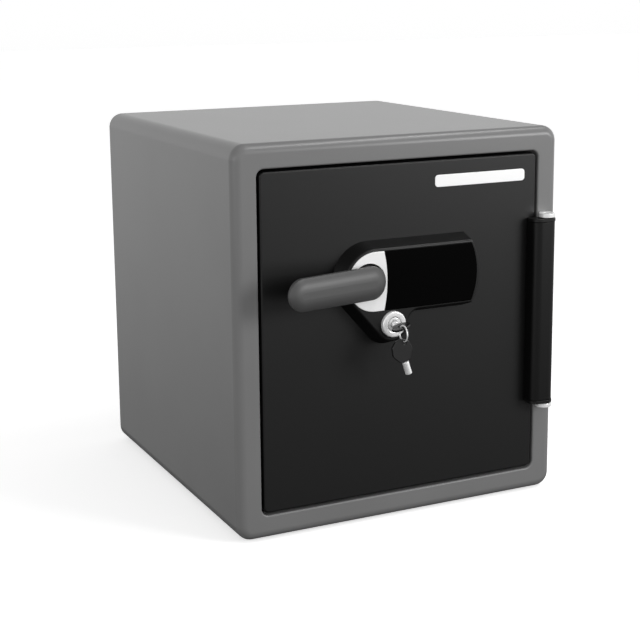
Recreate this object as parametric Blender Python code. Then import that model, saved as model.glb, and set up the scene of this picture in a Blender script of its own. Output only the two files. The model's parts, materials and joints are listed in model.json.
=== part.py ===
"""A fire-resistant safe with a hinged door, a lever that throws four bolts, a touch screen and a key lock.

Metres, +Z up. The origin is at the centre of the base, and the front faces -Y. Depths are measured back from
the body's front plane, and insets are measured in from the body's outline, so that door, frame, liner and
cavity all follow the same rounded rectangle.
"""

import math

import bmesh
import bpy
from mathutils import Matrix, Vector

# ---------------------------------------------------------------- driving dimensions
BODY_W = 0.420
BODY_H = 0.450
BODY_D = 0.435
FOOT_H = 0.002
HANDLE_REACH = 0.055
FRONT = HANDLE_REACH - (BODY_D + HANDLE_REACH) / 2
TOP = FOOT_H + BODY_H

STEEL = 0.002
FIT = 0.0003
EDGE_R = 0.018
FRONT_ROUND = 0.011
BACK_ROUND = 0.009
CORNER_STEPS = 4

FRAME_INSET = 0.028
FRAME_R = 0.009
DOOR_INSET = 0.0312
DOOR_R = 0.006
DOOR_RETURN = 0.025
LINER_WALL = 0.003
CAVITY_INSET = 0.050
SHOULDER = 0.062
CAVITY_END = 0.392
PAN_INSET = 0.036
PAN_FRONT = 0.020
PAN_SHOULDER = 0.057
PLUG_INSET = 0.060
PLUG_END = 0.090
SEAL_WIDTH = 0.012
SEAL_INSET = 0.041

HINGE_X = 0.1885
HINGE_OUT = 0.0108
HINGE_PIN_R = 0.004
BAR_NOSE_R = 0.0096
BAR_LEFT_X = 0.1675
BAR_Z = (0.1170, 0.3440)
BAR_CAP_R = 0.0103
BAR_CAP_H = 0.004
BRACKET_T = 0.005
BRACKET_R = 0.0098
SHANK_X = 0.186

LEVER_X, LEVER_Z = -0.0562, 0.2918
LEVER_END_X = -0.150
LEVER_R = 0.019
LEVER_TAPER = 0.96
LEVER_RISE = 0.20
HUB_R = 0.0186
HUB_HOLE_R = 0.020
SPINDLE_R = 0.006
HOUSING_OUT = 0.020
PLATE_X, PLATE_Z = -0.048, 0.2912
PLATE_R = 0.0341
SCREEN_X = (-0.036, 0.078)
LOCK_X, LOCK_Z = -0.0257, 0.2406
LOCK_R = 0.015
LOBE_R = 0.0205

THROW = 0.020
CAM_PIN_ARM = 0.020
CAM_PIN_R = 0.004
CAM_R = 0.027
CAM_TURN = 60
NOTCH_DEPTH = 0.0075
NOTCH_HALF = 0.0046
BOLT_R = 0.010
BOLT_DEPTH = 0.040
BOLT_ROOT_X = 0.1473
BOLT_TIP_X = 0.1725
BOLT_Z = (0.117, 0.337)
BAR_DEPTH = (0.031, 0.0345)
CAM_DEPTH = (0.0362, 0.0402)

KEY_LEAN = math.radians(-18)
KEY_CRANK = 0.0055
CRANK_START = -45
CRANK_PIN_R = 0.0025
BOW_FRONT = 0.0480
BOW_LENGTH = 0.0185
BOW_T = 0.0026
BOW_HOLE_R = 0.0031
RING_R = 0.0090
RING_WIRE = 0.0009

SPARE_LENGTH = 0.0270
SPARE_HOLE = (0.0050, 0.0215)
SPARE_SLACK = 0.0013
SPARE_LEAN = math.radians(-18)

SHELF_Z = 0.236
BATTERY_Z = 0.330
BATTERY_R = 0.0070
BATTERY_PITCH = 0.0150
BATTERY_BOX = (0.034, 0.033)
BATTERY_FRONT = 0.0665

HINGE_AXIS = Vector((HINGE_X, FRONT - HINGE_OUT, 0.0))


# ---------------------------------------------------------------- modelling helpers
def clear_scene():
    for thing in list(bpy.data.objects):
        bpy.data.objects.remove(thing, do_unlink=True)


def material(name, colour, roughness, metallic=0.0):
    made = bpy.data.materials.new(name)
    made.use_nodes = True
    shader = made.node_tree.nodes["Principled BSDF"]
    shader.inputs["Base Color"].default_value = (*colour, 1.0)
    shader.inputs["Roughness"].default_value = roughness
    shader.inputs["Metallic"].default_value = metallic
    made.diffuse_color = (*colour, 1.0)
    return made


def depth(distance):
    """The y of a plane this far behind the body's front plane."""
    return FRONT + distance


def polar(cx, cz, radius, degrees):
    """The point (x, z) at this radius and angle from a centre."""
    angle = math.radians(degrees)
    return cx + radius * math.cos(angle), cz + radius * math.sin(angle)


def arc(cx, cz, radius, start, end, steps):
    """Points (x, z) along an arc, angles in degrees, both ends included."""
    return [polar(cx, cz, radius, start + (end - start) * i / steps) for i in range(steps + 1)]


def rounded_rectangle(x0, x1, z0, z1, radius, steps=CORNER_STEPS):
    corners = ((x1, z1, 0), (x0, z1, 90), (x0, z0, 180), (x1, z0, 270))
    points = []
    for x, z, turn in corners:
        cx = x - radius if x == x1 else x + radius
        cz = z - radius if z == z1 else z + radius
        points += arc(cx, cz, radius, turn, turn + 90, steps)
    return points


def ring_at(outline, distance):
    return [Vector((x, depth(distance), z)) for x, z in outline]


def body_ring(inset, distance, radius):
    """The body's rounded outline, moved in by inset, in the plane at this depth."""
    half = BODY_W / 2 - inset
    return ring_at(rounded_rectangle(-half, half, FOOT_H + inset, TOP - inset, radius), distance)


def make(name, mesh_data, finish, origin=(0.0, 0.0, 0.0)):
    """An object from a bmesh in the safe's own frame, with its origin moved to the point given."""
    bmesh.ops.recalc_face_normals(mesh_data, faces=mesh_data.faces)
    mesh = bpy.data.meshes.new(name)
    mesh_data.to_mesh(mesh)
    mesh_data.free()
    mesh.transform(Matrix.Translation(-Vector(origin)))
    mesh.materials.append(finish)
    mesh.shade_smooth()
    mesh.set_sharp_from_angle(angle=math.radians(35))
    made = bpy.data.objects.new(name, mesh)
    made.location = origin
    bpy.context.scene.collection.objects.link(made)
    return made


def loft(name, rings, finish, closed=False, origin=(0.0, 0.0, 0.0)):
    """Skin a row of rings with equal counts. It closes on itself, or is capped at both ends."""
    bm = bmesh.new()
    loops = [[bm.verts.new(point) for point in ring] for ring in rings]
    pairs = list(zip(loops, loops[1:]))
    if closed:
        pairs.append((loops[-1], loops[0]))
    for first, second in pairs:
        for i in range(len(first)):
            j = (i + 1) % len(first)
            bm.faces.new((first[i], first[j], second[j], second[i]))
    if not closed:
        bm.faces.new(loops[0])
        bm.faces.new(loops[-1])
    return make(name, bm, finish, origin)


def slab(name, outline, front, back, finish, edge=0.0, origin=(0.0, 0.0, 0.0)):
    """An outline in the XZ plane, extruded between two depths, with a bevel on its front edge."""
    made = loft(name, [ring_at(outline, front), ring_at(outline, back)], finish, origin=origin)
    if edge:
        bevel(made, edge)
    return made


def block(name, low, high, finish, edge=0.0, origin=(0.0, 0.0, 0.0)):
    """A box between two corners, each (x, depth, z)."""
    outline = ((low[0], low[2]), (high[0], low[2]), (high[0], high[2]), (low[0], high[2]))
    return slab(name, outline, low[1], high[1], finish, edge, origin)


def turned(name, profile, centre, finish, axis="Y", steps=24, origin=(0.0, 0.0, 0.0)):
    """A solid of revolution. The profile is a row of (radius, distance) along the axis from the centre."""
    turns = [2 * math.pi * i / steps for i in range(steps)]
    rings = []
    for radius, along in profile:
        flat = [(radius * math.cos(t), radius * math.sin(t)) for t in turns]
        if axis == "Y":
            rings.append([Vector(centre) + Vector((u, along, v)) for u, v in flat])
        elif axis == "X":
            rings.append([Vector(centre) + Vector((along, u, v)) for u, v in flat])
        else:
            rings.append([Vector(centre) + Vector((u, v, along)) for u, v in flat])
    return loft(name, rings, finish, origin=origin)


def tube(name, outer, inner, start, end, centre, finish, axis="Y", steps=24, origin=(0.0, 0.0, 0.0)):
    made = turned(name, ((outer, start), (outer, end)), centre, finish, axis, steps, origin)
    bore = turned(name + "_bore", ((inner, start - 0.01), (inner, end + 0.01)), centre, finish, axis, steps)
    return cut(made, bore)


def bevel(piece, width, segments=2, angle=50):
    step = piece.modifiers.new("edge", "BEVEL")
    step.width = width
    step.segments = segments
    step.limit_method = "ANGLE"
    step.angle_limit = math.radians(angle)
    return piece


def boolean(piece, other, operation):
    other.hide_render = True
    other.display_type = "WIRE"
    step = piece.modifiers.new(operation.lower(), "BOOLEAN")
    step.operation = operation
    step.solver = "EXACT"
    step.object = other
    return piece


def cut(piece, *others):
    for other in others:
        boolean(piece, other, "DIFFERENCE")
    return piece


def join(piece, *others):
    for other in others:
        boolean(piece, other, "UNION")
    return piece


def pivot(name, location):
    made = bpy.data.objects.new(name, None)
    made.location = location
    made.empty_display_size = 0.02
    bpy.context.scene.collection.objects.link(made)
    return made


def hang(parent, *pieces):
    """Parent pieces, and the cutters that shape them, without moving them."""
    bpy.context.view_layer.update()
    for piece in pieces:
        for step in piece.modifiers:
            if step.type == "BOOLEAN" and not step.object.parent:
                hang(parent, step.object)
        piece.parent = parent
        piece.matrix_parent_inverse = parent.matrix_world.inverted()


# ---------------------------------------------------------------- finishes
def finishes():
    return {
        "body": material("body_paint", (0.19, 0.19, 0.19), 0.45),
        "door": material("door_paint", (0.035, 0.035, 0.035), 0.45),
        "steel": material("zinc_steel", (0.55, 0.55, 0.56), 0.35, 1.0),
        "chrome": material("chrome", (0.85, 0.85, 0.86), 0.12, 1.0),
        "liner": material("liner_plastic", (0.16, 0.16, 0.165), 0.55),
        "fill": material("poured_insulation", (0.62, 0.60, 0.55), 0.9),
        "rubber": material("rubber", (0.02, 0.02, 0.02), 0.8),
        "lever": material("lever_paint", (0.16, 0.16, 0.16), 0.35),
        "housing": material("housing_plastic", (0.03, 0.03, 0.03), 0.4),
        "screen": material("touch_glass", (0.004, 0.004, 0.004), 0.06),
        "silver": material("silver_trim", (0.9, 0.9, 0.9), 0.25, 0.6),
        "board": material("circuit_board", (0.02, 0.16, 0.07), 0.5),
        "cell": material("battery_wrap", (0.10, 0.11, 0.12), 0.3),
        "key": material("key_plastic", (0.015, 0.015, 0.015), 0.4),
    }


# ---------------------------------------------------------------- cabinet
def rounded_front(inset_of_edge, distance_of_edge, radius, steps=4):
    """Insets and depths along the quarter round between the front plane and the sides."""
    turns = [math.pi / 2 * i / steps for i in range(steps + 1)]
    return [
        (inset_of_edge - radius * math.sin(t), distance_of_edge - radius * math.cos(t)) for t in turns
    ]


def outer_shell(look):
    rings = [
        body_ring(FRAME_INSET, 0.010, FRAME_R),
        body_ring(FRAME_INSET, 0.002, FRAME_R),
        body_ring(FRAME_INSET - 0.0006, 0.0006, FRAME_R),
        body_ring(FRAME_INSET - 0.002, 0.0, FRAME_R),
    ]
    for inset, distance in rounded_front(FRONT_ROUND, FRONT_ROUND, FRONT_ROUND):
        rings.append(body_ring(inset, distance, EDGE_R - inset))
    for inset, distance in reversed(rounded_front(BACK_ROUND, BACK_ROUND, BACK_ROUND, 3)):
        rings.append(body_ring(inset, BODY_D - distance, EDGE_R - inset))
    rim = BACK_ROUND + 0.005
    inside = EDGE_R - STEEL
    rings += [
        body_ring(rim, BODY_D, 0.006),
        body_ring(rim, BODY_D - STEEL, 0.006),
        body_ring(BACK_ROUND, BODY_D - STEEL, EDGE_R - BACK_ROUND),
        body_ring(STEEL, BODY_D - BACK_ROUND, inside),
        body_ring(STEEL, FRONT_ROUND, inside),
        body_ring(FRONT_ROUND, STEEL, EDGE_R - FRONT_ROUND),
        body_ring(FRAME_INSET - STEEL, STEEL, FRAME_R + STEEL),
        body_ring(FRAME_INSET - STEEL, 0.010, FRAME_R + STEEL),
    ]
    return cut(loft("outer_shell", rings, look["body"], closed=True), *bracket_slots(look, "shell"))


def back_panel(look):
    rim = BACK_ROUND + 0.005 + FIT
    rings = [
        body_ring(rim, BODY_D - STEEL, 0.0057),
        body_ring(rim, BODY_D - 0.0004, 0.0057),
        body_ring(rim + 0.022, BODY_D - 0.0004, 0.008),
        body_ring(rim + 0.026, BODY_D - 0.0018, 0.008),
    ]
    return loft("back_panel", rings, look["body"])


def bracket_slots(look, tag):
    """Cutters for the two hinge brackets' shanks, with clearance all round."""
    slots = []
    for z in bracket_heights():
        low = (SHANK_X - FIT, -0.004, z - FIT)
        high = (HINGE_X + BRACKET_R + FIT, 0.0243 + FIT, z + BRACKET_T + FIT)
        slots.append(block(f"slot_{tag}_{len(slots)}", low, high, look["body"]))
    return slots


def bolt_pockets(look, tag, radius, start, end):
    """Cutters for the four bolts, on both sides of the body."""
    made = []
    for side in (-1, 1):
        for z in BOLT_Z:
            centre = (0.0, depth(BOLT_DEPTH), z)
            profile = ((radius, side * start), (radius, side * end))
            made.append(turned(f"pocket_{tag}_{len(made)}", profile, centre, look["fill"], "X", 16))
    return made


def cabinet_insulation(look):
    skin = STEEL + FIT
    wall = FRAME_INSET - LINER_WALL - FIT
    cavity = CAVITY_INSET - LINER_WALL - FIT
    rings = [
        body_ring(BACK_ROUND + FIT, BODY_D - 0.0027, EDGE_R - BACK_ROUND),
        body_ring(skin, BODY_D - BACK_ROUND - 0.0005, EDGE_R - skin),
        body_ring(skin, FRONT_ROUND + 0.0005, EDGE_R - skin),
        body_ring(FRONT_ROUND + 0.0005, skin, EDGE_R - FRONT_ROUND),
        body_ring(wall, skin, 0.012),
        body_ring(wall, SHOULDER + LINER_WALL + FIT, 0.012),
        body_ring(cavity, SHOULDER + LINER_WALL + FIT, 0.015),
        body_ring(cavity, CAVITY_END + LINER_WALL + FIT, 0.015),
    ]
    made = loft("cabinet_insulation", rings, look["fill"])
    half = BODY_W / 2
    pockets = bolt_pockets(look, "fill", BOLT_R + 0.0012, half - 0.030, BOLT_TIP_X + THROW + 0.002)
    return cut(made, *pockets, *bracket_slots(look, "fill"))


def inner_liner(look):
    rings = [
        body_ring(CAVITY_INSET - LINER_WALL, CAVITY_END + LINER_WALL, 0.015),
        body_ring(CAVITY_INSET - LINER_WALL, SHOULDER + LINER_WALL, 0.015),
        body_ring(FRAME_INSET - LINER_WALL, SHOULDER + LINER_WALL, 0.012),
        body_ring(FRAME_INSET - LINER_WALL, 0.0105, 0.012),
        body_ring(FRAME_INSET, 0.0105, FRAME_R),
        body_ring(FRAME_INSET, SHOULDER, FRAME_R),
        body_ring(CAVITY_INSET, SHOULDER, 0.012),
        body_ring(CAVITY_INSET, CAVITY_END, 0.012),
    ]
    made = loft("inner_liner", rings, look["liner"])
    half = BODY_W / 2 - CAVITY_INSET
    for side in (-1, 1):
        ledge = block(
            f"ledge_{side}",
            (min(side * (half + 0.001), side * (half - 0.006)), 0.150, SHELF_Z - 0.009),
            (max(side * (half + 0.001), side * (half - 0.006)), 0.385, SHELF_Z - 0.003),
            look["liner"],
        )
        join(made, ledge)
    return cut(made, *bolt_pockets(look, "liner", BOLT_R + 0.0012, half + 0.010, half + 0.040))


def strike_plate(look, name, side):
    inner = BODY_W / 2 - FRAME_INSET - FIT
    x = sorted((side * inner, side * (inner - 0.0018)))
    made = block(name, (x[0], 0.0285, 0.085), (x[1], 0.0545, 0.369), look["steel"])
    return cut(made, *bolt_pockets(look, name, BOLT_R + 0.0009, inner - 0.010, inner + 0.010))


def foot(look, name, x, y):
    profile = ((0.0120, 0.0), (0.0125, 0.0006), (0.0125, FOOT_H - FIT))
    return turned(name, profile, (x, y, 0.0), look["rubber"], "Z", 20, origin=(x, y, 0.0))


def bracket_heights():
    gap = 0.0009
    return (BAR_Z[0] - gap - BRACKET_T, BAR_Z[1] + gap)


def hinge_bracket(look, name, z):
    """An eye round the pin, with a shank that runs back through the frame to a foot behind it."""
    turn = math.degrees(math.acos((SHANK_X - HINGE_X) / BRACKET_R))
    eye = arc(HINGE_X, -HINGE_OUT, BRACKET_R, turn, 360, 14)
    outline = eye + [(HINGE_X + BRACKET_R, 0.0240), (SHANK_X, 0.0240)]
    rings = [
        [Vector((x, depth(d), level)) for x, d in outline] for level in (z, z + BRACKET_T)
    ]
    made = loft(name, rings, look["chrome"], origin=(HINGE_X, HINGE_AXIS.y, z))
    hole = turned(
        name + "_hole", ((HINGE_PIN_R + FIT, -0.01), (HINGE_PIN_R + FIT, 0.02)),
        (HINGE_X, HINGE_AXIS.y, z), look["chrome"], "Z", 16,
    )
    return cut(made, hole)


def hinge_pin(look):
    low, high = bracket_heights()
    profile = (
        (HINGE_PIN_R - 0.0006, low),
        (HINGE_PIN_R, low + 0.0006),
        (HINGE_PIN_R, high + BRACKET_T - 0.0006),
        (HINGE_PIN_R - 0.0006, high + BRACKET_T),
    )
    return turned("hinge_pin", profile, HINGE_AXIS, look["steel"], "Z", 16)


def shelf(look):
    half = BODY_W / 2 - CAVITY_INSET - 0.002
    made = block(
        "shelf", (-half, 0.150, SHELF_Z - 0.0027), (half, 0.388, SHELF_Z), look["liner"]
    )
    lip = block("shelf_lip", (-half, 0.150, SHELF_Z - 0.0005), (half, 0.153, SHELF_Z + 0.010), look["liner"])
    return join(made, lip)


def build_cabinet(look):
    outer_shell(look)
    back_panel(look)
    cabinet_insulation(look)
    inner_liner(look)
    strike_plate(look, "strike_plate_left", -1)
    strike_plate(look, "strike_plate_right", 1)
    side, back = BODY_W / 2 - 0.045, FRONT + BODY_D - 0.045
    for end, y in (("front", FRONT + 0.045), ("back", back)):
        foot(look, f"foot_{end}_left", -side, y)
        foot(look, f"foot_{end}_right", side, y)
    low, high = bracket_heights()
    hinge_bracket(look, "hinge_bracket_lower", low)
    hinge_bracket(look, "hinge_bracket_upper", high)
    hinge_pin(look)
    shelf(look)


# ---------------------------------------------------------------- door
def through(name, x, z, radius, front, back, look, steps=20):
    """A round cutter along the depth."""
    return turned(name, ((radius, front), (radius, back)), (x, FRONT, z), look["steel"], "Y", steps)


def door_skin(look):
    rings = [
        body_ring(DOOR_INSET + 0.0020, 0.0, DOOR_R - 0.002),
        body_ring(DOOR_INSET + 0.0006, 0.0006, DOOR_R - 0.0006),
        body_ring(DOOR_INSET, 0.0020, DOOR_R),
        body_ring(DOOR_INSET, DOOR_RETURN, DOOR_R),
        body_ring(DOOR_INSET + STEEL, DOOR_RETURN, DOOR_R - 0.002),
        body_ring(DOOR_INSET + STEEL, STEEL, DOOR_R - 0.002),
    ]
    made = loft("door_skin", rings, look["door"])
    return cut(
        made,
        through("skin_spindle_hole", LEVER_X, LEVER_Z, 0.008, -0.01, 0.01, look),
        through("skin_lock_hole", LOCK_X, LOCK_Z, 0.0114, -0.01, 0.01, look),
        through("skin_cable_hole", 0.030, PLATE_Z, 0.008, -0.01, 0.01, look),
    )


def door_insulation_front(look):
    inset = PAN_INSET + LINER_WALL + FIT
    rings = [body_ring(inset, STEEL + FIT, 0.005), body_ring(inset, 0.0247, 0.005)]
    made = loft("door_insulation_front", rings, look["fill"])
    return cut(
        made,
        through("fill_spindle_hole", LEVER_X, LEVER_Z, 0.009, -0.01, 0.04, look),
        through("fill_lock_hole", LOCK_X, LOCK_Z, 0.0118, -0.01, 0.04, look),
        through("fill_cable_hole", 0.030, PLATE_Z, 0.008, -0.01, 0.04, look),
    )


def battery_cut(name, look, grow, front, back):
    half_x, half_z = BATTERY_BOX
    low = (-half_x - grow, front, BATTERY_Z - half_z - grow)
    high = (half_x + grow, back, BATTERY_Z + half_z + grow)
    return block(name, low, high, look["fill"])


def door_insulation_back(look):
    inset = PLUG_INSET + LINER_WALL + FIT
    front = PAN_SHOULDER - LINER_WALL + FIT
    rings = [
        body_ring(inset, front, 0.0067),
        body_ring(inset, PLUG_END - LINER_WALL - FIT, 0.0067),
    ]
    made = loft("door_insulation_back", rings, look["fill"])
    return cut(made, battery_cut("fill_battery_pocket", look, FIT, BATTERY_FRONT - FIT, 0.10))


def door_inner_panel(look):
    rings = [
        body_ring(PLUG_INSET, PLUG_END, 0.010),
        body_ring(PLUG_INSET, PAN_SHOULDER, 0.010),
        body_ring(PAN_INSET, PAN_SHOULDER, 0.008),
        body_ring(PAN_INSET, PAN_FRONT, 0.008),
        body_ring(PAN_INSET + LINER_WALL, PAN_FRONT, 0.005),
        body_ring(PAN_INSET + LINER_WALL, PAN_SHOULDER - LINER_WALL, 0.005),
        body_ring(PLUG_INSET + LINER_WALL, PAN_SHOULDER - LINER_WALL, 0.007),
        body_ring(PLUG_INSET + LINER_WALL, PLUG_END - LINER_WALL, 0.007),
    ]
    made = loft("door_inner_panel", rings, look["liner"])
    half = BODY_W / 2 - PAN_INSET
    holes = bolt_pockets(look, "pan", BOLT_R + 0.0004, half - 0.008, half + 0.008)
    return cut(made, battery_cut("panel_battery_window", look, FIT, 0.075, 0.10), *holes)


def door_seal(look):
    inner = SEAL_INSET + SEAL_WIDTH
    front, back = PAN_SHOULDER + FIT, SHOULDER - FIT
    middle = (front + back) / 2
    rings = [
        body_ring(SEAL_INSET, front, 0.009),
        body_ring(SEAL_INSET + 0.001, middle, 0.009),
        body_ring(SEAL_INSET + 0.003, back, 0.008),
        body_ring(inner - 0.003, back, 0.007),
        body_ring(inner - 0.001, middle, 0.006),
        body_ring(inner, front, 0.006),
    ]
    return loft("door_seal", rings, look["rubber"], closed=True)


def hinge_bar_outline():
    """Seen from above, in (x, depth): a foot on the door, a rounded front and a nose round the pin."""
    nose = arc(HINGE_X, -HINGE_OUT, BAR_NOSE_R, 90, -90, 10)
    shoulder = 0.010
    front = -HINGE_OUT - BAR_NOSE_R
    left = arc(BAR_LEFT_X + shoulder, front + shoulder, shoulder, 270, 180, 5)
    return nose + left + [(BAR_LEFT_X, -HINGE_OUT + BAR_NOSE_R)]


def hinge_bar(look):
    outline = hinge_bar_outline()
    rings = [[Vector((x, depth(d), z)) for x, d in outline] for z in BAR_Z]
    made = loft("hinge_bar", rings, look["door"], origin=(HINGE_X, HINGE_AXIS.y, BAR_Z[0]))
    low, high = BAR_Z
    seat = BAR_CAP_H + 0.008 + FIT
    bore = turned(
        "hinge_bar_bore",
        ((0.0064, low - 0.01), (0.0064, low + seat), (0.0048, low + seat), (0.0048, high - seat),
         (0.0064, high - seat), (0.0064, high + 0.01)),
        HINGE_AXIS, look["door"], "Z", 20,
    )
    caps = []
    for name, level in (("low", low - 0.01), ("high", high - BAR_CAP_H)):
        caps.append(
            block(
                f"hinge_bar_{name}_relief",
                (0.10, -0.06, level), (0.25, 0.0, level + BAR_CAP_H + 0.01), look["door"],
            )
        )
    return cut(made, bore, *caps)


def hinge_bush(look, name, z, into):
    """A flanged bush: the flange closes the end of the bar, and the sleeve runs into its bore."""
    outline = []
    grow = BAR_CAP_R - BAR_NOSE_R
    for x, d in hinge_bar_outline():
        outward = Vector((x - HINGE_X, d + HINGE_OUT))
        nose = x >= HINGE_X
        scale = 1 + grow / outward.length if nose else 1.0
        outline.append((HINGE_X + outward.x * scale, -HINGE_OUT + outward.y * scale))
    flange = BAR_CAP_H - FIT
    levels = (z, z + flange * into)
    rings = [[Vector((x, depth(min(d, -FIT)), level)) for x, d in outline] for level in levels]
    made = loft(name, rings, look["housing"], origin=(HINGE_X, HINGE_AXIS.y, z))
    sleeve = turned(
        name + "_sleeve",
        ((0.0061, z + 0.001 * into), (0.0061, z + (BAR_CAP_H + 0.008) * into)),
        HINGE_AXIS, look["housing"], "Z", 20,
    )
    bore = turned(
        name + "_bore",
        ((HINGE_PIN_R + FIT, z - 0.02 * into), (HINGE_PIN_R + FIT, z + 0.03 * into)),
        HINGE_AXIS, look["housing"], "Z", 20,
    )
    return cut(join(made, sleeve), bore)


def housing_outline(grow):
    """The lock housing seen from the front: a bar with a round left end, and a lobe round the key lock."""
    left_r, lobe_r = 0.0370 + grow, LOBE_R + grow
    gap = Vector((LOCK_X - PLATE_X, LOCK_Z - PLATE_Z))
    tangent = math.degrees(math.atan2(gap.y, gap.x)) - math.degrees(math.acos((left_r - lobe_r) / gap.length))
    tangent %= 360
    low, high = PLATE_Z - left_r, PLATE_Z + left_r
    fillet = 0.014
    fillet_z = PLATE_Z - 0.0370 - fillet
    fillet_x = LOCK_X + math.sqrt((LOBE_R + fillet) ** 2 - (fillet_z - LOCK_Z) ** 2)
    meet = math.degrees(math.atan2(fillet_z - LOCK_Z, fillet_x - LOCK_X)) + 360
    end_x, bulge = SCREEN_X[1] + 0.001, 0.0105
    right = bulged_edge(end_x, low, high, bulge + grow * 0.7)
    return (
        right
        + arc(PLATE_X, PLATE_Z, left_r, 90, tangent, 12)
        + arc(LOCK_X, LOCK_Z, lobe_r, tangent, meet, 10)
        + arc(fillet_x, fillet_z, fillet - grow, meet - 180, 90, 5)
    )


def bulged_edge(x, low, high, bulge, steps=8):
    """An arc from (x, low) to (x, high) that stands out by bulge in the middle."""
    half = (high - low) / 2
    radius = (half * half + bulge * bulge) / (2 * bulge)
    reach = math.degrees(math.asin(half / radius))
    return arc(x + bulge - radius, (low + high) / 2, radius, -reach, reach, steps)


def plate_outline(grow=0.0):
    """The silver plate behind the lever: round on the left, gently bowed on the right."""
    low, high = PLATE_Z - PLATE_R - grow, PLATE_Z + PLATE_R + grow
    right = bulged_edge(SCREEN_X[0] - 0.0006 + grow, low, high, 0.0040)
    return right + arc(PLATE_X, PLATE_Z, PLATE_R + grow, 90, 270, 14)


def screen_outline():
    low, high = PLATE_Z - PLATE_R, PLATE_Z + PLATE_R
    left = bulged_edge(SCREEN_X[0], low, high, 0.0040)
    return bulged_edge(SCREEN_X[1], low, high, 0.0075) + left[::-1]


def lock_housing(look):
    rings = [
        ring_at(housing_outline(grow), -out)
        for grow, out in (
            (-0.0008, HOUSING_OUT),
            (-0.0002, HOUSING_OUT - 0.0004),
            (0.0010, HOUSING_OUT - 0.0020),
            (0.0030, 0.0080),
            (0.0050, 0.0030),
            (0.0068, FIT),
            (0.0044, FIT),
            (-0.0020, HOUSING_OUT - 0.0058),
        )
    ]
    made = loft("lock_housing", rings, look["housing"])
    pocket_outline = bulged_edge(SCREEN_X[1] + FIT, PLATE_Z - PLATE_R - FIT, PLATE_Z + PLATE_R + FIT, 0.0075)
    pocket_outline += arc(PLATE_X, PLATE_Z, PLATE_R + FIT, 90, 270, 14)
    pocket = slab("housing_pocket", pocket_outline, -0.030, -HOUSING_OUT + 0.0033, look["housing"])
    return cut(
        made,
        pocket,
        through("housing_hub_hole", LEVER_X, LEVER_Z, HUB_HOLE_R, -0.04, -0.010, look, 32),
        through("housing_lock_hole", LOCK_X, LOCK_Z, 0.0114, -0.04, -0.010, look),
        through("housing_cable_hole", 0.030, PLATE_Z, 0.005, -0.04, -0.010, look, 12),
    )


def handle_surround(look):
    front, back = -HOUSING_OUT - 0.0006, -HOUSING_OUT + 0.0030
    made = slab("handle_surround", plate_outline(), front, back, look["silver"], 0.0006)
    return cut(made, through("surround_hole", LEVER_X, LEVER_Z, HUB_HOLE_R, -0.04, 0.0, look, 32))


def touch_screen(look):
    front, back = -HOUSING_OUT - 0.0002, -HOUSING_OUT + 0.0030
    return slab("touch_screen", screen_outline(), front, back, look["screen"], 0.0005)


def keypad_board(look):
    return block("keypad_board", (-0.030, -0.0136, 0.262), (0.072, -0.0120, 0.316), look["board"])


def badge(look):
    """A blank raised badge."""
    outline = rounded_rectangle(0.040, 0.162, 0.3895, 0.4035, 0.004, 3)
    return bevel(slab("badge", outline, -0.0012, -FIT, look["silver"]), 0.0004, 1)


def lock_cylinder(look):
    """A round collar on the housing, and a barrel that runs back into the door."""
    out = HOUSING_OUT + FIT
    profile = (
        (LOCK_R - 0.0012, -out - 0.0046), (LOCK_R, -out - 0.0030), (LOCK_R, -out),
        (0.0110, -out), (0.0110, 0.0220), (0.0100, 0.0230),
    )
    made = turned("lock_cylinder", profile, (LOCK_X, FRONT, LOCK_Z), look["chrome"], "Y", 32)
    bore = turned(
        "lock_cylinder_bore", ((0.0083, -0.05), (0.0083, 0.05)),
        (LOCK_X, FRONT, LOCK_Z), look["chrome"], "Y", 24,
    )
    return cut(made, bore)


def mechanism_plate(look):
    made = block("mechanism_plate", (-0.150, 0.0255, 0.090), (0.150, 0.0275, 0.364), look["steel"])
    return cut(
        made,
        through("plate_spindle_hole", LEVER_X, LEVER_Z, SPINDLE_R + FIT, 0.01, 0.04, look),
        through("plate_lock_hole", LOCK_X, LOCK_Z, 0.0070, 0.01, 0.04, look),
        through("plate_cable_hole", 0.030, PLATE_Z, 0.008, 0.01, 0.04, look, 12),
    )


def bolt_guide(look, name, side):
    x = sorted((side * 0.1683, side * 0.1707))
    made = block(name, (x[0], 0.0290, 0.095), (x[1], 0.0510, 0.359), look["steel"])
    return cut(made, *bolt_pockets(look, name, BOLT_R + 0.0004, 0.160, 0.180))


def solenoid(look):
    low = (-0.020, 0.0362, LEVER_Z - 0.011)
    made = block("solenoid", low, (0.024, 0.0530, LEVER_Z + 0.011), look["steel"], 0.0008)
    bore = turned(
        "solenoid_bore", ((0.0043, -0.04), (0.0043, 0.016)),
        (0.0, depth(0.0425), LEVER_Z), look["steel"], "X", 16,
    )
    return cut(made, bore)


def battery_holder(look):
    made = battery_cut("battery_holder", look, 0.0, BATTERY_FRONT, PLUG_END)
    made.data.materials[0] = look["liner"]
    return cut(made, battery_cut("battery_holder_hollow", look, -0.002, BATTERY_FRONT + 0.002, 0.1))


def battery(look, index):
    z = BATTERY_Z + (index - 1.5) * BATTERY_PITCH
    flip = 1 if index % 2 else -1
    centre = (0.0, depth(BATTERY_FRONT + 0.0025 + BATTERY_R), z)
    profile = (
        (BATTERY_R - 0.0006, -0.0250 * flip),
        (BATTERY_R, -0.0244 * flip),
        (BATTERY_R, 0.0240 * flip),
        (BATTERY_R - 0.0008, 0.0246 * flip),
        (0.0027, 0.0248 * flip),
        (0.0026, 0.0260 * flip),
    )
    return turned(f"battery_{index + 1}", profile, centre, look["cell"], "X", 16, origin=centre)


def battery_cover_axis():
    return Vector((0.0, depth(PLUG_END + 0.0021), BATTERY_Z - BATTERY_BOX[1] - 0.003))


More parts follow.
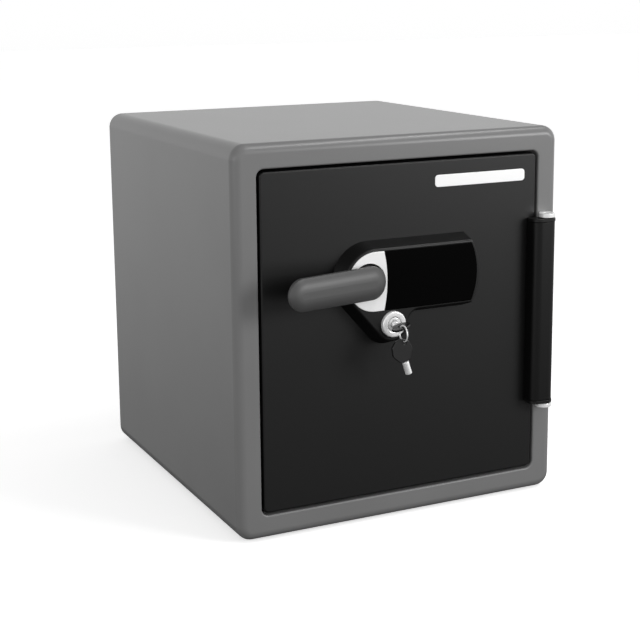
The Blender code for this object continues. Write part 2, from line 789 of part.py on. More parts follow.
def battery_cover(look):
    half_x, half_z = BATTERY_BOX
    axis = battery_cover_axis()
    low = (-half_x - 0.002, PLUG_END + FIT, axis.z)
    high = (half_x + 0.002, PLUG_END + 0.0027, BATTERY_Z + half_z + 0.002)
    return block("battery_cover", low, high, look["liner"], origin=axis)


def door_pocket(look):
    """An open-topped bin on the back of the door."""
    low, high = (-0.115, PLUG_END + FIT, 0.105), (0.115, 0.128, 0.185)
    made = block("door_pocket", low, high, look["liner"])
    wall = 0.0025
    hollow = block(
        "door_pocket_hollow",
        (low[0] + wall, low[1] + wall, low[2] + wall),
        (high[0] - wall, high[1] - wall, high[2] + 0.01),
        look["liner"],
    )
    return cut(made, hollow)


def key_rack(look):
    made = block("key_rack", (-0.060, PLUG_END + FIT, 0.374), (0.060, 0.0930, 0.386), look["liner"])
    for i in range(4):
        x = -0.045 + 0.030 * i
        peg = turned(f"key_peg_{i}", ((0.0020, 0.0920), (0.0020, 0.1010), (0.0030, 0.1030)),
                     (x, FRONT, 0.3795), look["liner"], "Y", 10)
        join(made, peg)
    return made


def control_cable(look):
    """The lead from the touch screen's board to the solenoid, through the door's front layers."""
    stops = (
        (0.030, -0.0112, PLATE_Z),
        (0.030, 0.0100, PLATE_Z),
        (0.030, 0.0300, PLATE_Z),
        (0.0315, 0.0400, PLATE_Z + 0.001),
        (0.034, 0.0450, PLATE_Z + 0.004),
        (0.034, 0.0450, PLATE_Z + 0.022),
    )
    curve = bpy.data.curves.new("control_cable", "CURVE")
    curve.dimensions = "3D"
    curve.bevel_depth = 0.0018
    curve.bevel_resolution = 2
    curve.use_fill_caps = True
    line = curve.splines.new("POLY")
    line.points.add(len(stops) - 1)
    for point, (x, d, z) in zip(line.points, stops):
        point.co = (x, depth(d), z, 1.0)
    curve.materials.append(look["rubber"])
    made = bpy.data.objects.new("control_cable", curve)
    bpy.context.scene.collection.objects.link(made)
    return made


def build_door(look):
    hinge = pivot("door_pivot", HINGE_AXIS)
    low, high = BAR_Z
    pieces = [
        door_skin(look),
        door_insulation_front(look),
        door_insulation_back(look),
        door_inner_panel(look),
        door_seal(look),
        hinge_bar(look),
        hinge_bush(look, "hinge_bush_lower", low, 1),
        hinge_bush(look, "hinge_bush_upper", high, -1),
        lock_housing(look),
        handle_surround(look),
        touch_screen(look),
        keypad_board(look),
        badge(look),
        lock_cylinder(look),
        mechanism_plate(look),
        bolt_guide(look, "bolt_guide_left", -1),
        bolt_guide(look, "bolt_guide_right", 1),
        solenoid(look),
        battery_holder(look),
        door_pocket(look),
        key_rack(look),
        control_cable(look),
    ]
    pieces += [battery(look, index) for index in range(4)]
    hang(hinge, *pieces)
    return hinge


# ---------------------------------------------------------------- lever and bolts
def lever_ring(radius, out, steps=8):
    """A round-ended bar, narrower to the left, in a plane that rises from the door to the left."""
    outline = arc(LEVER_X, LEVER_Z, radius, -90, 90, steps)
    outline += arc(LEVER_END_X, LEVER_Z, radius * LEVER_TAPER, 90, 270, steps)
    return [Vector((x, FRONT - out - LEVER_RISE * (LEVER_X - x), z)) for x, z in outline]


def lever_handle(look, centre):
    """The grip leans out from its hub, and its tip sets the safe's depth over the handle."""
    dome = (
        (0.0166, 0.0225), (0.0184, 0.0234), (LEVER_R, 0.0252), (LEVER_R, 0.0295),
        (0.0185, 0.0317), (0.0170, 0.0333), (0.0140, 0.0344), (0.0100, 0.0350), (0.0050, 0.0352),
    )
    length = LEVER_X - LEVER_END_X
    lift = HANDLE_REACH - max(out + LEVER_RISE * (length + radius * LEVER_TAPER) for radius, out in dome)
    rings = [lever_ring(radius, out + lift) for radius, out in dome]
    made = loft("lever_handle", rings, look["lever"], origin=centre)
    hub = turned(
        "lever_hub", ((0.0160, -0.0285), (HUB_R - 0.0004, -0.0250), (HUB_R, -0.0240), (HUB_R, -0.0145)),
        (LEVER_X, FRONT, LEVER_Z), look["lever"], "Y", 32,
    )
    socket = through("lever_socket", LEVER_X, LEVER_Z, SPINDLE_R + FIT, -0.030, 0.0, look)
    return cut(join(made, hub), socket)


def handle_spindle(look, centre):
    profile = ((SPINDLE_R - 0.0008, -0.0296), (SPINDLE_R, -0.0288), (SPINDLE_R, 0.0450))
    return turned("handle_spindle", profile, (LEVER_X, FRONT, LEVER_Z), look["steel"], "Y", 20, centre)


def cam_plate(look, centre):
    """The disc on the spindle: two pins drive the bolt bars, and notches take the two locks."""
    front, back = CAM_DEPTH
    made = tube(
        "cam_plate", CAM_R, SPINDLE_R + FIT, front, back,
        (LEVER_X, FRONT, LEVER_Z), look["steel"], "Y", 36, centre,
    )
    for name, turn in (("left", CAM_TURN), ("right", CAM_TURN + 180)):
        x, z = polar(LEVER_X, LEVER_Z, CAM_PIN_ARM, turn)
        pin = turned(f"cam_pin_{name}", ((CAM_PIN_R, 0.0300), (CAM_PIN_R, front + 0.001)),
                     (x, FRONT, z), look["steel"], "Y", 14)
        join(made, pin)
    for name, turn in (("key", 270), ("coil", 360)):
        for state, turned_by in (("open", 0), ("locked", CAM_TURN)):
            cut(made, cam_notch(look, f"cam_notch_{name}_{state}", centre, turn - turned_by))
    return made


def cam_notch(look, name, centre, turn):
    """A cutter for a square notch in the cam's rim, at this angle from +X."""
    floor = LEVER_X + CAM_R - NOTCH_DEPTH
    low = (floor, CAM_DEPTH[0] - 0.005, LEVER_Z - NOTCH_HALF)
    high = (floor + 0.020, CAM_DEPTH[1] + 0.005, LEVER_Z + NOTCH_HALF)
    made = block(name, low, high, look["steel"], origin=centre)
    made.rotation_euler = (0.0, -math.radians(turn), 0.0)
    return made


def spindle_clip(look, centre):
    back = CAM_DEPTH[1] + FIT
    return tube(
        "spindle_clip", 0.0095, SPINDLE_R + FIT, back, back + 0.0016,
        (LEVER_X, FRONT, LEVER_Z), look["steel"], "Y", 20, centre,
    )


def bolt_bar(look, name, side):
    """A flat bar with a flange for two bolts, and an arm with an upright slot for the cam's pin."""
    front, back = BAR_DEPTH
    outer = BOLT_ROOT_X - FIT
    x = sorted((side * (outer - 0.017), side * outer))
    made = block(name, (x[0], front, 0.097), (x[1], back, 0.357), look["steel"])
    x = sorted((side * (outer - 0.003), side * outer))
    flange = block(name + "_flange", (x[0], back - 0.001, 0.097), (x[1], 0.0500, 0.357), look["steel"])
    slot_x = LEVER_X - side * CAM_PIN_ARM / 2
    inner = slot_x - side * 0.009
    up = -side
    z = sorted((LEVER_Z + up * 0.009, LEVER_Z + up * 0.029))
    x = sorted((inner, side * (outer - 0.001)))
    arm = block(name + "_arm", (x[0], front, z[0]), (x[1], back, z[1]), look["steel"])
    half = CAM_PIN_R + 0.0006
    z = sorted((LEVER_Z + up * 0.0120, LEVER_Z + up * 0.0252))
    slot = block(
        name + "_slot", (slot_x - half, front - 0.01, z[0]), (slot_x + half, back + 0.01, z[1]),
        look["steel"],
    )
    return cut(join(made, flange, arm), slot)


def bolt(look, name, side, z):
    profile = (
        (BOLT_R, side * BOLT_ROOT_X),
        (BOLT_R, side * (BOLT_TIP_X - 0.0015)),
        (BOLT_R - 0.0015, side * BOLT_TIP_X),
    )
    return turned(name, profile, (0.0, depth(BOLT_DEPTH), z), look["chrome"], "X", 20)


def build_handle(look, door):
    centre = Vector((LEVER_X, FRONT, LEVER_Z))
    turn = pivot("handle_pivot", centre)
    hang(door, turn)
    hang(
        turn,
        lever_handle(look, centre),
        handle_spindle(look, centre),
        cam_plate(look, centre),
        spindle_clip(look, centre),
    )


def build_bolts(look, door):
    for tag, side in (("left", -1), ("right", 1)):
        slide = pivot(f"bolts_{tag}_slide", (side * BOLT_ROOT_X, depth(BOLT_DEPTH), LEVER_Z))
        hang(door, slide)
        pieces = [bolt_bar(look, f"bolt_bar_{tag}", side)]
        for height, z in zip(("lower", "upper"), BOLT_Z):
            pieces.append(bolt(look, f"bolt_{tag}_{height}", side, z))
        hang(slide, *pieces)


def build_plunger(look, door):
    """The coil's plunger, drawn back. Its nose runs into the cam's notch."""
    start = LEVER_X + CAM_R + 0.0020
    rod, core = 0.0026, 0.0039
    profile = ((0.0018, start), (rod, start + 0.001), (rod, -0.0220), (core, -0.0220), (core, 0.0))
    centre = (0.0, depth(0.0425), LEVER_Z)
    slide = pivot("plunger_slide", centre)
    hang(door, slide)
    made = turned("solenoid_plunger", profile, centre, look["steel"], "X", 14)
    nose = block(
        "plunger_nose",
        (start - 0.0005, CAM_DEPTH[0] + FIT, LEVER_Z - 0.003), (start + 0.006, 0.0440, LEVER_Z + 0.003),
        look["steel"],
    )
    hang(slide, join(made, nose))


# ---------------------------------------------------------------- key lock
def key_plug(look, centre):
    """The turning plug, with a tail through the door and a crank pin on its end."""
    nose = HOUSING_OUT + 0.0043
    profile = (
        (0.0074, -nose), (0.0080, -nose + 0.0006), (0.0080, 0.0200), (0.0045, 0.0200),
        (0.0045, 0.0310), (0.0120, 0.0310), (0.0120, 0.0342), (0.0040, 0.0342),
    )
    made = turned("key_plug", profile, centre, look["steel"], "Y", 24, centre)
    x, z = polar(LOCK_X, LOCK_Z, KEY_CRANK, CRANK_START)
    pin = turned("key_crank_pin", ((CRANK_PIN_R, 0.0332), (CRANK_PIN_R, 0.0398)), (x, FRONT, z),
                 look["steel"], "Y", 12)
    way = turned("key_way", ((0.0045, -0.040), (0.0045, -0.0170)), centre, look["steel"], "Y", 16)
    return cut(join(made, pin), way)


def key_barrel(look, name, centre, front, back):
    made = turned(name, ((0.0036, -front), (0.0039, -front + 0.0004), (0.0039, -back)), centre,
                  look["chrome"], "Y", 16, centre)
    hollow = turned(name + "_hollow", ((0.0026, -back - 0.004), (0.0026, -back + 0.01)), centre,
                    look["chrome"], "Y", 12)
    return cut(made, hollow)


def bow_outline(width, length, reach):
    """A key's head: five rounded sides, with its shoulder at (0, 0) and its crown at length."""
    half = width / 2
    points = [(-reach, 0.0), (reach, 0.0), (half, length * 0.42), (half * 0.86, length * 0.80)]
    points += [(half * 0.34, length), (-half * 0.34, length), (-half * 0.86, length * 0.80)]
    return points + [(-half, length * 0.42)]


def key_head(look, centre):
    """The working key's head, edge on to its lock, with a hole for the ring near its crown."""
    start = BOW_FRONT - BOW_LENGTH
    levels = (-BOW_T / 2, BOW_T / 2)
    outline = bow_outline(0.0230, BOW_LENGTH, 0.0055)
    rings = [[centre + Vector((x, -start - d, level)) for x, d in outline] for level in levels]
    made = bevel(loft("key_head", rings, look["key"], origin=centre), 0.0005, 1)
    behind = ring_centre().y - centre.y + 0.0059
    hole = turned(
        "key_head_hole", ((BOW_HOLE_R, -0.01), (BOW_HOLE_R, 0.01)), centre + Vector((0.0, behind, 0.0)),
        look["key"], "Z", 12, origin=centre,
    )
    made.rotation_euler = (0.0, KEY_LEAN, 0.0)
    hole.rotation_euler = (0.0, KEY_LEAN, 0.0)
    return cut(made, hole)


def ring_centre():
    """The ring hangs upright, edge on to the front, from the web between the key's hole and its crown."""
    hang_z = LOCK_Z + BOW_T / 2 / math.cos(KEY_LEAN) + RING_WIRE + 2 * FIT
    return Vector((LOCK_X, FRONT - BOW_FRONT + 0.0030, hang_z - RING_R))


def key_ring(look):
    middle = ring_centre()
    steps, sides = 28, 6
    rings = []
    for i in range(steps):
        t = 2 * math.pi * i / steps
        out = Vector((0.0, math.cos(t), math.sin(t)))
        centre = middle + out * RING_R
        section = []
        for j in range(sides):
            s = 2 * math.pi * j / sides
            across = Vector((RING_WIRE * math.sin(s), 0.0, 0.0))
            section.append(centre + out * RING_WIRE * math.cos(s) + across)
        rings.append(section)
    top = middle + Vector((0.0, 0.0, RING_R))
    return loft("key_ring", rings, look["chrome"], closed=True, origin=top)


def spare_hang():
    return ring_centre() - Vector((0.0, 0.0, RING_R))


def lean_over(pieces):
    for piece in pieces:
        piece.rotation_euler = (0.0, SPARE_LEAN, 0.0)


def spare_key_head(look, origin):
    """The spare hangs by a hole beside its crown, so that its weight is straight below the ring."""
    outline = bow_outline(0.0260, SPARE_LENGTH, 0.0060)
    across, up = SPARE_HOLE
    rings = []
    for level in (-0.0017, 0.0017):
        rings.append([origin + Vector((x - across, level, d - up - SPARE_SLACK)) for x, d in outline])
    made = bevel(loft("spare_key_head", rings, look["key"], origin=origin), 0.0005, 1)
    middle = origin - Vector((0.0, 0.0, SPARE_SLACK))
    hole = turned("spare_key_hole", ((0.0027, -0.01), (0.0027, 0.01)), middle, look["key"], "Y", 12, origin)
    lean_over((made, hole))
    return cut(made, hole)


def spare_key_barrel(look, origin):
    shoulder = origin - Vector((SPARE_HOLE[0], 0.0, SPARE_HOLE[1] + SPARE_SLACK + FIT))
    profile = ((0.0036, -0.0150), (0.0039, -0.0146), (0.0039, 0.0))
    made = turned("spare_key_barrel", profile, shoulder, look["chrome"], "Z", 16, origin)
    hollow = turned("spare_barrel_hollow", ((0.0027, -0.0200), (0.0027, -0.0040)),
                    shoulder, look["chrome"], "Z", 12, origin)
    lean_over((made, hollow))
    return cut(made, hollow)


def build_key(look, door):
    centre = Vector((LOCK_X, FRONT, LOCK_Z))
    turn = pivot("key_pivot", centre)
    hang(door, turn)
    barrel_front = BOW_FRONT - BOW_LENGTH - FIT
    hang(
        turn,
        key_plug(look, centre),
        key_barrel(look, "key_barrel", centre, barrel_front, 0.0180),
        key_head(look, centre),
    )
    ring_pivot = pivot("ring_pivot", ring_centre() + Vector((0.0, 0.0, RING_R)))
    hang(turn, ring_pivot)
    hang(ring_pivot, key_ring(look))
    spare = spare_hang()
    spare_pivot = pivot("spare_pivot", spare)
    hang(ring_pivot, spare_pivot)
    hang(spare_pivot, spare_key_head(look, spare), spare_key_barrel(look, spare))


def build_blocker(look, door):
    """A sliding plate that the key's crank lifts into the cam's lower notch."""
    front, back = CAM_DEPTH[0] + FIT, CAM_DEPTH[1] - FIT
    pin_x, pin_z = polar(LOCK_X, LOCK_Z, KEY_CRANK, CRANK_START)
    tip = LEVER_Z - CAM_R - 0.0022
    slide = pivot("blocker_slide", (LEVER_X, depth(front), tip))
    hang(door, slide)
    half = 0.004
    made = block(
        "key_blocker", (LEVER_X - half, front, pin_z - 0.006), (LEVER_X + half, back, tip), look["steel"],
    )
    foot_part = block(
        "blocker_foot", (LEVER_X - half, front, pin_z - 0.0075), (pin_x + 0.0085, back, pin_z + 0.0075),
        look["steel"],
    )
    gap = CRANK_PIN_R + 0.0006
    slot = block(
        "blocker_slot",
        (pin_x - 0.0040, front - 0.01, pin_z - gap),
        (pin_x + 0.0062, back + 0.01, pin_z + gap),
        look["steel"],
    )
    hang(slide, cut(join(made, foot_part), slot))


def build_battery_cover(look, door):
    axis = battery_cover_axis()
    hinge = pivot("battery_cover_pivot", axis)
    hang(door, hinge)
    hang(hinge, battery_cover(look))


def main():
    clear_scene()
    look = finishes()
    build_cabinet(look)
    door = build_door(look)
    build_handle(look, door)
    build_bolts(look, door)
    build_plunger(look, door)
    build_key(look, door)
    build_blocker(look, door)
    build_battery_cover(look, door)


main()
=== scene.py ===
"""The safe's looks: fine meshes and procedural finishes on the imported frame.

Metres, +Z up, and the front faces -Y. As in the CAD, depths are measured back from the body's front plane,
and insets are measured in from the body's rounded outline.
"""

import json
import math

import bmesh
import bpy
from mathutils import Matrix, Vector


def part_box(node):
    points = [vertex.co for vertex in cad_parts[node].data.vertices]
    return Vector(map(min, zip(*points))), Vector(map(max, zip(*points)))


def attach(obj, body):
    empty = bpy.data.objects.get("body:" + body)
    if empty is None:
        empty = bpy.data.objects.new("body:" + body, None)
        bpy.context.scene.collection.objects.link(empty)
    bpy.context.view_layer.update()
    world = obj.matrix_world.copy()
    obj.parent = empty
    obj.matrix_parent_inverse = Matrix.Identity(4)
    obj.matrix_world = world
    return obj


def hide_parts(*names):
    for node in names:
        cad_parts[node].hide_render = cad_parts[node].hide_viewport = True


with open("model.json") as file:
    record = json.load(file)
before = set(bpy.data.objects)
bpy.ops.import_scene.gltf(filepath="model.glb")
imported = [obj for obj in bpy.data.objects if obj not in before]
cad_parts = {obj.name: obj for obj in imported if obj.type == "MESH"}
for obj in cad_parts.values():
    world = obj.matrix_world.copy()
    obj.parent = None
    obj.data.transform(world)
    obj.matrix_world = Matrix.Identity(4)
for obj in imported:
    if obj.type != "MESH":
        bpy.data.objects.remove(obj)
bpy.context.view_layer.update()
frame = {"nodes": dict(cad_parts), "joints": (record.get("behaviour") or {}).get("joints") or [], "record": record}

# ---------------------------------------------------------------- dimensions, from the frame where it can
JOINT_AT = {joint["name"]: Vector(joint["pos_m"]) for joint in frame["joints"] if "pos_m" in joint}
SHELL_LOW, SHELL_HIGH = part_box("outer_shell")
FRONT, BACK = SHELL_LOW.y, SHELL_HIGH.y
BODY_D = BACK - FRONT
HALF_W = SHELL_HIGH.x
BASE, TOP = SHELL_LOW.z, SHELL_HIGH.z
LEVER, LOCK, HINGE = JOINT_AT["handle_turn"], JOINT_AT["key_turn"], JOINT_AT["door_hinge"]
RING_TOP, RING_BOTTOM = JOINT_AT["ring_swing"], JOINT_AT["spare_key_swing"]

FIT = 0.0003
STEEL = 0.002
EDGE_R = 0.018
FRONT_ROUND = 0.011
BACK_ROUND = 0.009
FRAME_INSET = 0.028
FRAME_R = 0.009
FRAME_EDGE_R = 0.002
DOOR_INSET = 0.0312
DOOR_R = 0.006
DOOR_EDGE_R = 0.002
DOOR_RETURN = 0.025
CORNER_STEPS = 14
SHARP_ANGLE = math.radians(38)

HINGE_OUT = FRONT - HINGE.y
HINGE_PIN_R = 0.004
BAR_NOSE_R = 0.0096
BAR_CAP_R = 0.0103
BAR_CAP_H = 0.004
BRACKET_R = 0.0098
BRACKET_DEEP = 0.0240
SHANK_X = 0.186
PIN_DOME = 0.0009
SLEEVE_R = 0.0061
SLEEVE_DEEP = 0.008

LEVER_R = 0.019
LEVER_TAPER = 0.96
LEVER_RISE = 0.20
LEVER_CROWN = 0.0352
LEVER_END_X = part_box("lever_handle")[0].x + LEVER_R * LEVER_TAPER
HUB_R = 0.0186
HUB_HOLE_R = 0.0212
SPINDLE_HOLE_R = 0.008
HOUSING_OUT = 0.020
HOUSING_R = 0.0370
HOUSING_BULGE = 0.0105
PLATE_X, PLATE_Z = -0.048, 0.2912
PLATE_R = 0.0341
PLATE_BULGE = 0.0040
PLATE_SEAT = -HOUSING_OUT + 0.0030
SCREEN_X = (-0.036, 0.078)
SCREEN_BULGE = 0.0075
LOCK_R = 0.015
LOCK_HOLE_R = 0.0114
LOBE_R = 0.0205
LOBE_FILLET = 0.014

BOLT_R = 0.010
BOLT_TIP_R = 0.0018
SCREW_R = 0.0040
SCREW_H = 0.0016
SCREW_SLOT = 0.0008
CRANK_R = 0.0055
CRANK_START = -45
KEY_LEAN = math.radians(-18)
SPARE_LEAN = math.radians(-18)
BOW_T = 0.0026
BOW_WIDTH = 0.0230
BOW_LENGTH = 0.0185
BOW_FRONT = 0.0480
BOW_EDGE_R = 0.0007
BOW_HOLE_R = 0.0035
BOW_HOLE_BACK = 0.0059
RING_WIRE = 0.00085
SPARE_T = 0.0034
SPARE_WIDTH = 0.0260
SPARE_LENGTH = 0.0270
SPARE_HOLE_R = 0.0027
SPARE_HOLE = (0.0050, 0.0215)
SPARE_SLACK = 0.0013


# ---------------------------------------------------------------- outlines
def polar(cx, cz, radius, degrees):
    angle = math.radians(degrees)
    return cx + radius * math.cos(angle), cz + radius * math.sin(angle)


def arc(cx, cz, radius, start, end, steps):
    return [polar(cx, cz, radius, start + (end - start) * i / steps) for i in range(steps + 1)]


def quarter(steps):
    """The angles of a quarter turn, in even steps."""
    return [math.pi / 2 * i / steps for i in range(steps + 1)]


def rounded_rectangle(x0, x1, z0, z1, radius, steps=CORNER_STEPS):
    points = []
    for x, z, turn in ((x1, z1, 0), (x0, z1, 90), (x0, z0, 180), (x1, z0, 270)):
        cx = x - radius if x == x1 else x + radius
        cz = z - radius if z == z1 else z + radius
        points += arc(cx, cz, radius, turn, turn + 90, steps)
    return points


def bulged_edge(x, low, high, bulge, steps=32):
    """An arc from (x, low) to (x, high) that stands out by bulge in the middle."""
    half = (high - low) / 2
    radius = (half * half + bulge * bulge) / (2 * bulge)
    reach = math.degrees(math.asin(half / radius))
    return arc(x + bulge - radius, (low + high) / 2, radius, -reach, reach, steps)


def housing_outline(grow):
    """A bar with a round left end, and a lobe round the key lock."""
    left_r = HOUSING_R + grow
    lobe_r = LOBE_R + grow
    gap = Vector((LOCK.x - PLATE_X, LOCK.z - PLATE_Z))
    bearing = math.degrees(math.atan2(gap.y, gap.x))
    tangent = (bearing - math.degrees(math.acos((left_r - lobe_r) / gap.length))) % 360
    fillet_z = PLATE_Z - HOUSING_R - LOBE_FILLET
    fillet_x = LOCK.x + math.sqrt((LOBE_R + LOBE_FILLET) ** 2 - (fillet_z - LOCK.z) ** 2)
    meet = math.degrees(math.atan2(fillet_z - LOCK.z, fillet_x - LOCK.x)) + 360
    bulge = HOUSING_BULGE + grow * 0.7
    right = bulged_edge(SCREEN_X[1] + 0.001, PLATE_Z - left_r, PLATE_Z + left_r, bulge)
    return (
        right
        + arc(PLATE_X, PLATE_Z, left_r, 90, tangent, 48)
        + arc(LOCK.x, LOCK.z, lobe_r, tangent, meet, 40)
        + arc(fillet_x, fillet_z, LOBE_FILLET - grow, meet - 180, 90, 16)
    )


def plate_outline():
    """A round left end, and a right edge that bulges to a narrow gap beside the screen."""
    right = bulged_edge(SCREEN_X[0] - 2 * FIT, PLATE_Z - PLATE_R, PLATE_Z + PLATE_R, PLATE_BULGE)
    return right + arc(PLATE_X, PLATE_Z, PLATE_R, 90, 270, 56)


def screen_outline():
    low, high = PLATE_Z - PLATE_R, PLATE_Z + PLATE_R
    left = bulged_edge(SCREEN_X[0], low, high, PLATE_BULGE)
    return bulged_edge(SCREEN_X[1], low, high, SCREEN_BULGE) + left[::-1]


def bow_outline(width, length, reach):
    """A key's head, with its shoulder at (0, 0) and its crown at length, its corners rounded."""
    half = width / 2
    points = [(-reach, 0.0), (reach, 0.0), (half, length * 0.42), (half * 0.86, length * 0.80)]
    points += [(half * 0.34, length), (-half * 0.34, length), (-half * 0.86, length * 0.80)]
    return soften(points + [(-half, length * 0.42)], 0.18)


def soften(points, share, steps=6):
    """Each corner becomes a curve that starts and ends this share of the way along its sides."""
    made = []
    for before, corner, after in zip(points[-1:] + points[:-1], points, points[1:] + points[:1]):
        a, b, c = Vector(before), Vector(corner), Vector(after)
        start, end = b.lerp(a, share), b.lerp(c, share)
        for i in range(steps + 1):
            t = i / steps
            made.append(tuple(start.lerp(b, t).lerp(b.lerp(end, t), t)))
    return made


def offset(outline, distance):
    """The outline moved out along its own normals. It runs anticlockwise."""
    moved = []
    for before, point, after in zip(outline[-1:] + outline[:-1], outline, outline[1:] + outline[:1]):
        along = Vector(after) - Vector(before)
        if along.length < 1e-9:
            moved.append(point)
            continue
        normal = Vector((along.y, -along.x)).normalized()
        moved.append((point[0] + normal.x * distance, point[1] + normal.y * distance))
    return moved


def through_points(points, steps):
    """A smooth row of points through the ones given."""
    ends = [points[0]] + list(points) + [points[-1]]
    made = []
    for p0, p1, p2, p3 in zip(ends, ends[1:], ends[2:], ends[3:]):
        for i in range(steps):
            t = i / steps
            made.append(tuple(between(a, b, c, d, t) for a, b, c, d in zip(p0, p1, p2, p3)))
    return made + [tuple(points[-1])]


def between(a, b, c, d, t):
    """The value at t on the Catmull-Rom curve that runs from b to c."""
    bend = 2 * a - 5 * b + 4 * c - d
    twist = 3 * b - a - 3 * c + d
    return 0.5 * (2 * b + (c - a) * t + bend * t * t + twist * t ** 3)


# ---------------------------------------------------------------- meshes
def at_depth(outline, distance):
    return [Vector((x, FRONT + distance, z)) for x, z in outline]


def at_height(outline, z):
    """An outline of (x, depth) laid level at this height."""
    return [Vector((x, FRONT + distance, z)) for x, distance in outline]


def body_ring(inset, distance, radius):
    half = HALF_W - inset
    return at_depth(rounded_rectangle(-half, half, BASE + inset, TOP - inset, radius), distance)


def skin(rings, closed=False):
    bm = bmesh.new()
    loops = [[bm.verts.new(point) for point in ring] for ring in rings]
    pairs = list(zip(loops, loops[1:]))
    if closed:
        pairs.append((loops[-1], loops[0]))
    for first, second in pairs:
        for i in range(len(first)):
            j = (i + 1) % len(first)
            bm.faces.new((first[i], first[j], second[j], second[i]))
    if not closed:
        bm.faces.new(loops[0])
        bm.faces.new(loops[-1])
    return bm


def place(name, bm, finish):
    bmesh.ops.remove_doubles(bm, verts=bm.verts, dist=1e-7)
    bmesh.ops.recalc_face_normals(bm, faces=bm.faces)
    mesh = bpy.data.meshes.new(name)
    bm.to_mesh(mesh)
    bm.free()
    mesh.materials.append(finish)
    smooth(mesh)
    made = bpy.data.objects.new(name, mesh)
    bpy.context.scene.collection.objects.link(made)
    return made


def smooth(mesh):
    mesh.shade_smooth()
    mesh.set_sharp_from_angle(angle=SHARP_ANGLE)


def settle_normals(piece):
    """Keeps flat faces flat beside their rounded edges."""
    step = piece.modifiers.new("normals", "WEIGHTED_NORMAL")
    step.keep_sharp = True
    return piece


def combine(piece, others, operation="DIFFERENCE"):
    """Cuts or joins with EXACT booleans, and leaves one plain mesh."""
    for other in others:
        step = piece.modifiers.new("shape", "BOOLEAN")
        step.operation = operation
        step.solver = "EXACT"
        step.object = other
    bpy.context.view_layer.update()
    graph = bpy.context.evaluated_depsgraph_get()
    mesh = bpy.data.meshes.new_from_object(piece.evaluated_get(graph))
    piece.modifiers.clear()
    piece.data = mesh
    smooth(mesh)
    for other in others:
        bpy.data.objects.remove(other, do_unlink=True)
    return piece


def bevel(piece, width, segments=3):
    step = piece.modifiers.new("edge", "BEVEL")
    step.width = width
    step.segments = segments
    step.limit_method = "ANGLE"
    step.angle_limit = math.radians(50)
    return piece


def slab(name, outline, front, back, finish):
    return place(name, skin([at_depth(outline, front), at_depth(outline, back)]), finish)


def cushion_slab(name, outline, front, back, edge, finish):
    """A slab whose front edge is a quarter round."""
    rings = [
        at_depth(offset(outline, -edge * (1 - math.sin(t))), front + edge * (1 - math.cos(t)))
        for t in quarter(5)
    ]
    rings.append(at_depth(outline, back))
    return place(name, skin(rings), finish)


def block(name, low, high, finish):
    outline = ((low[0], low[2]), (high[0], low[2]), (high[0], high[2]), (low[0], high[2]))
    return slab(name, outline, low[1], high[1], finish)


def turned_rings(profile, centre, axis, steps):
    turns = [2 * math.pi * i / steps for i in range(steps)]
    rings = []
    for radius, along in profile:
        flat = [(radius * math.cos(t), radius * math.sin(t)) for t in turns]
        if axis == "Y":
            rings.append([Vector(centre) + Vector((u, along, v)) for u, v in flat])
        elif axis == "X":
            rings.append([Vector(centre) + Vector((along, u, v)) for u, v in flat])
        else:
            rings.append([Vector(centre) + Vector((u, v, along)) for u, v in flat])
    return rings


def turned(name, profile, centre, finish, axis="Y", steps=64, closed=False):
    """A solid of revolution. A closed profile comes back to its start, and leaves a bore."""
    return place(name, skin(turned_rings(profile, centre, axis, steps), closed), finish)


def dress(piece, body, slot, *nodes):
    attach(piece, body)
    if nodes:
        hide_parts(*nodes)
    return piece


# ---------------------------------------------------------------- finishes
def noise(tree, scale, stretch=(1.0, 1.0, 1.0), detail=3.0):
    """A noise texture in the object's own metres, scale features to the metre."""
    places = tree.nodes.new("ShaderNodeTexCoord")
    mapping = tree.nodes.new("ShaderNodeMapping")
    mapping.inputs["Scale"].default_value = stretch
    made = tree.nodes.new("ShaderNodeTexNoise")
    made.inputs["Scale"].default_value = scale
    made.inputs["Detail"].default_value = detail
    tree.links.new(places.outputs["Object"], mapping.inputs["Vector"])
    tree.links.new(mapping.outputs["Vector"], made.inputs["Vector"])
    return made.outputs["Fac"]


def colours(tree, value, stops):
    ramp = tree.nodes.new("ShaderNodeValToRGB")
    while len(ramp.color_ramp.elements) < len(stops):
        ramp.color_ramp.elements.new(0.5)
    for element, (position, colour) in zip(ramp.color_ramp.elements, stops):
        element.position = position
        element.color = (*colour, 1.0)
    tree.links.new(value, ramp.inputs["Fac"])
    return ramp.outputs["Color"]


def spread(tree, value, low, high):
    made = tree.nodes.new("ShaderNodeMapRange")
    made.inputs["From Min"].default_value = 0.3
    made.inputs["From Max"].default_value = 0.7
    made.inputs["To Min"].default_value = low
    made.inputs["To Max"].default_value = high
    tree.links.new(value, made.inputs["Value"])
    return made.outputs["Result"]


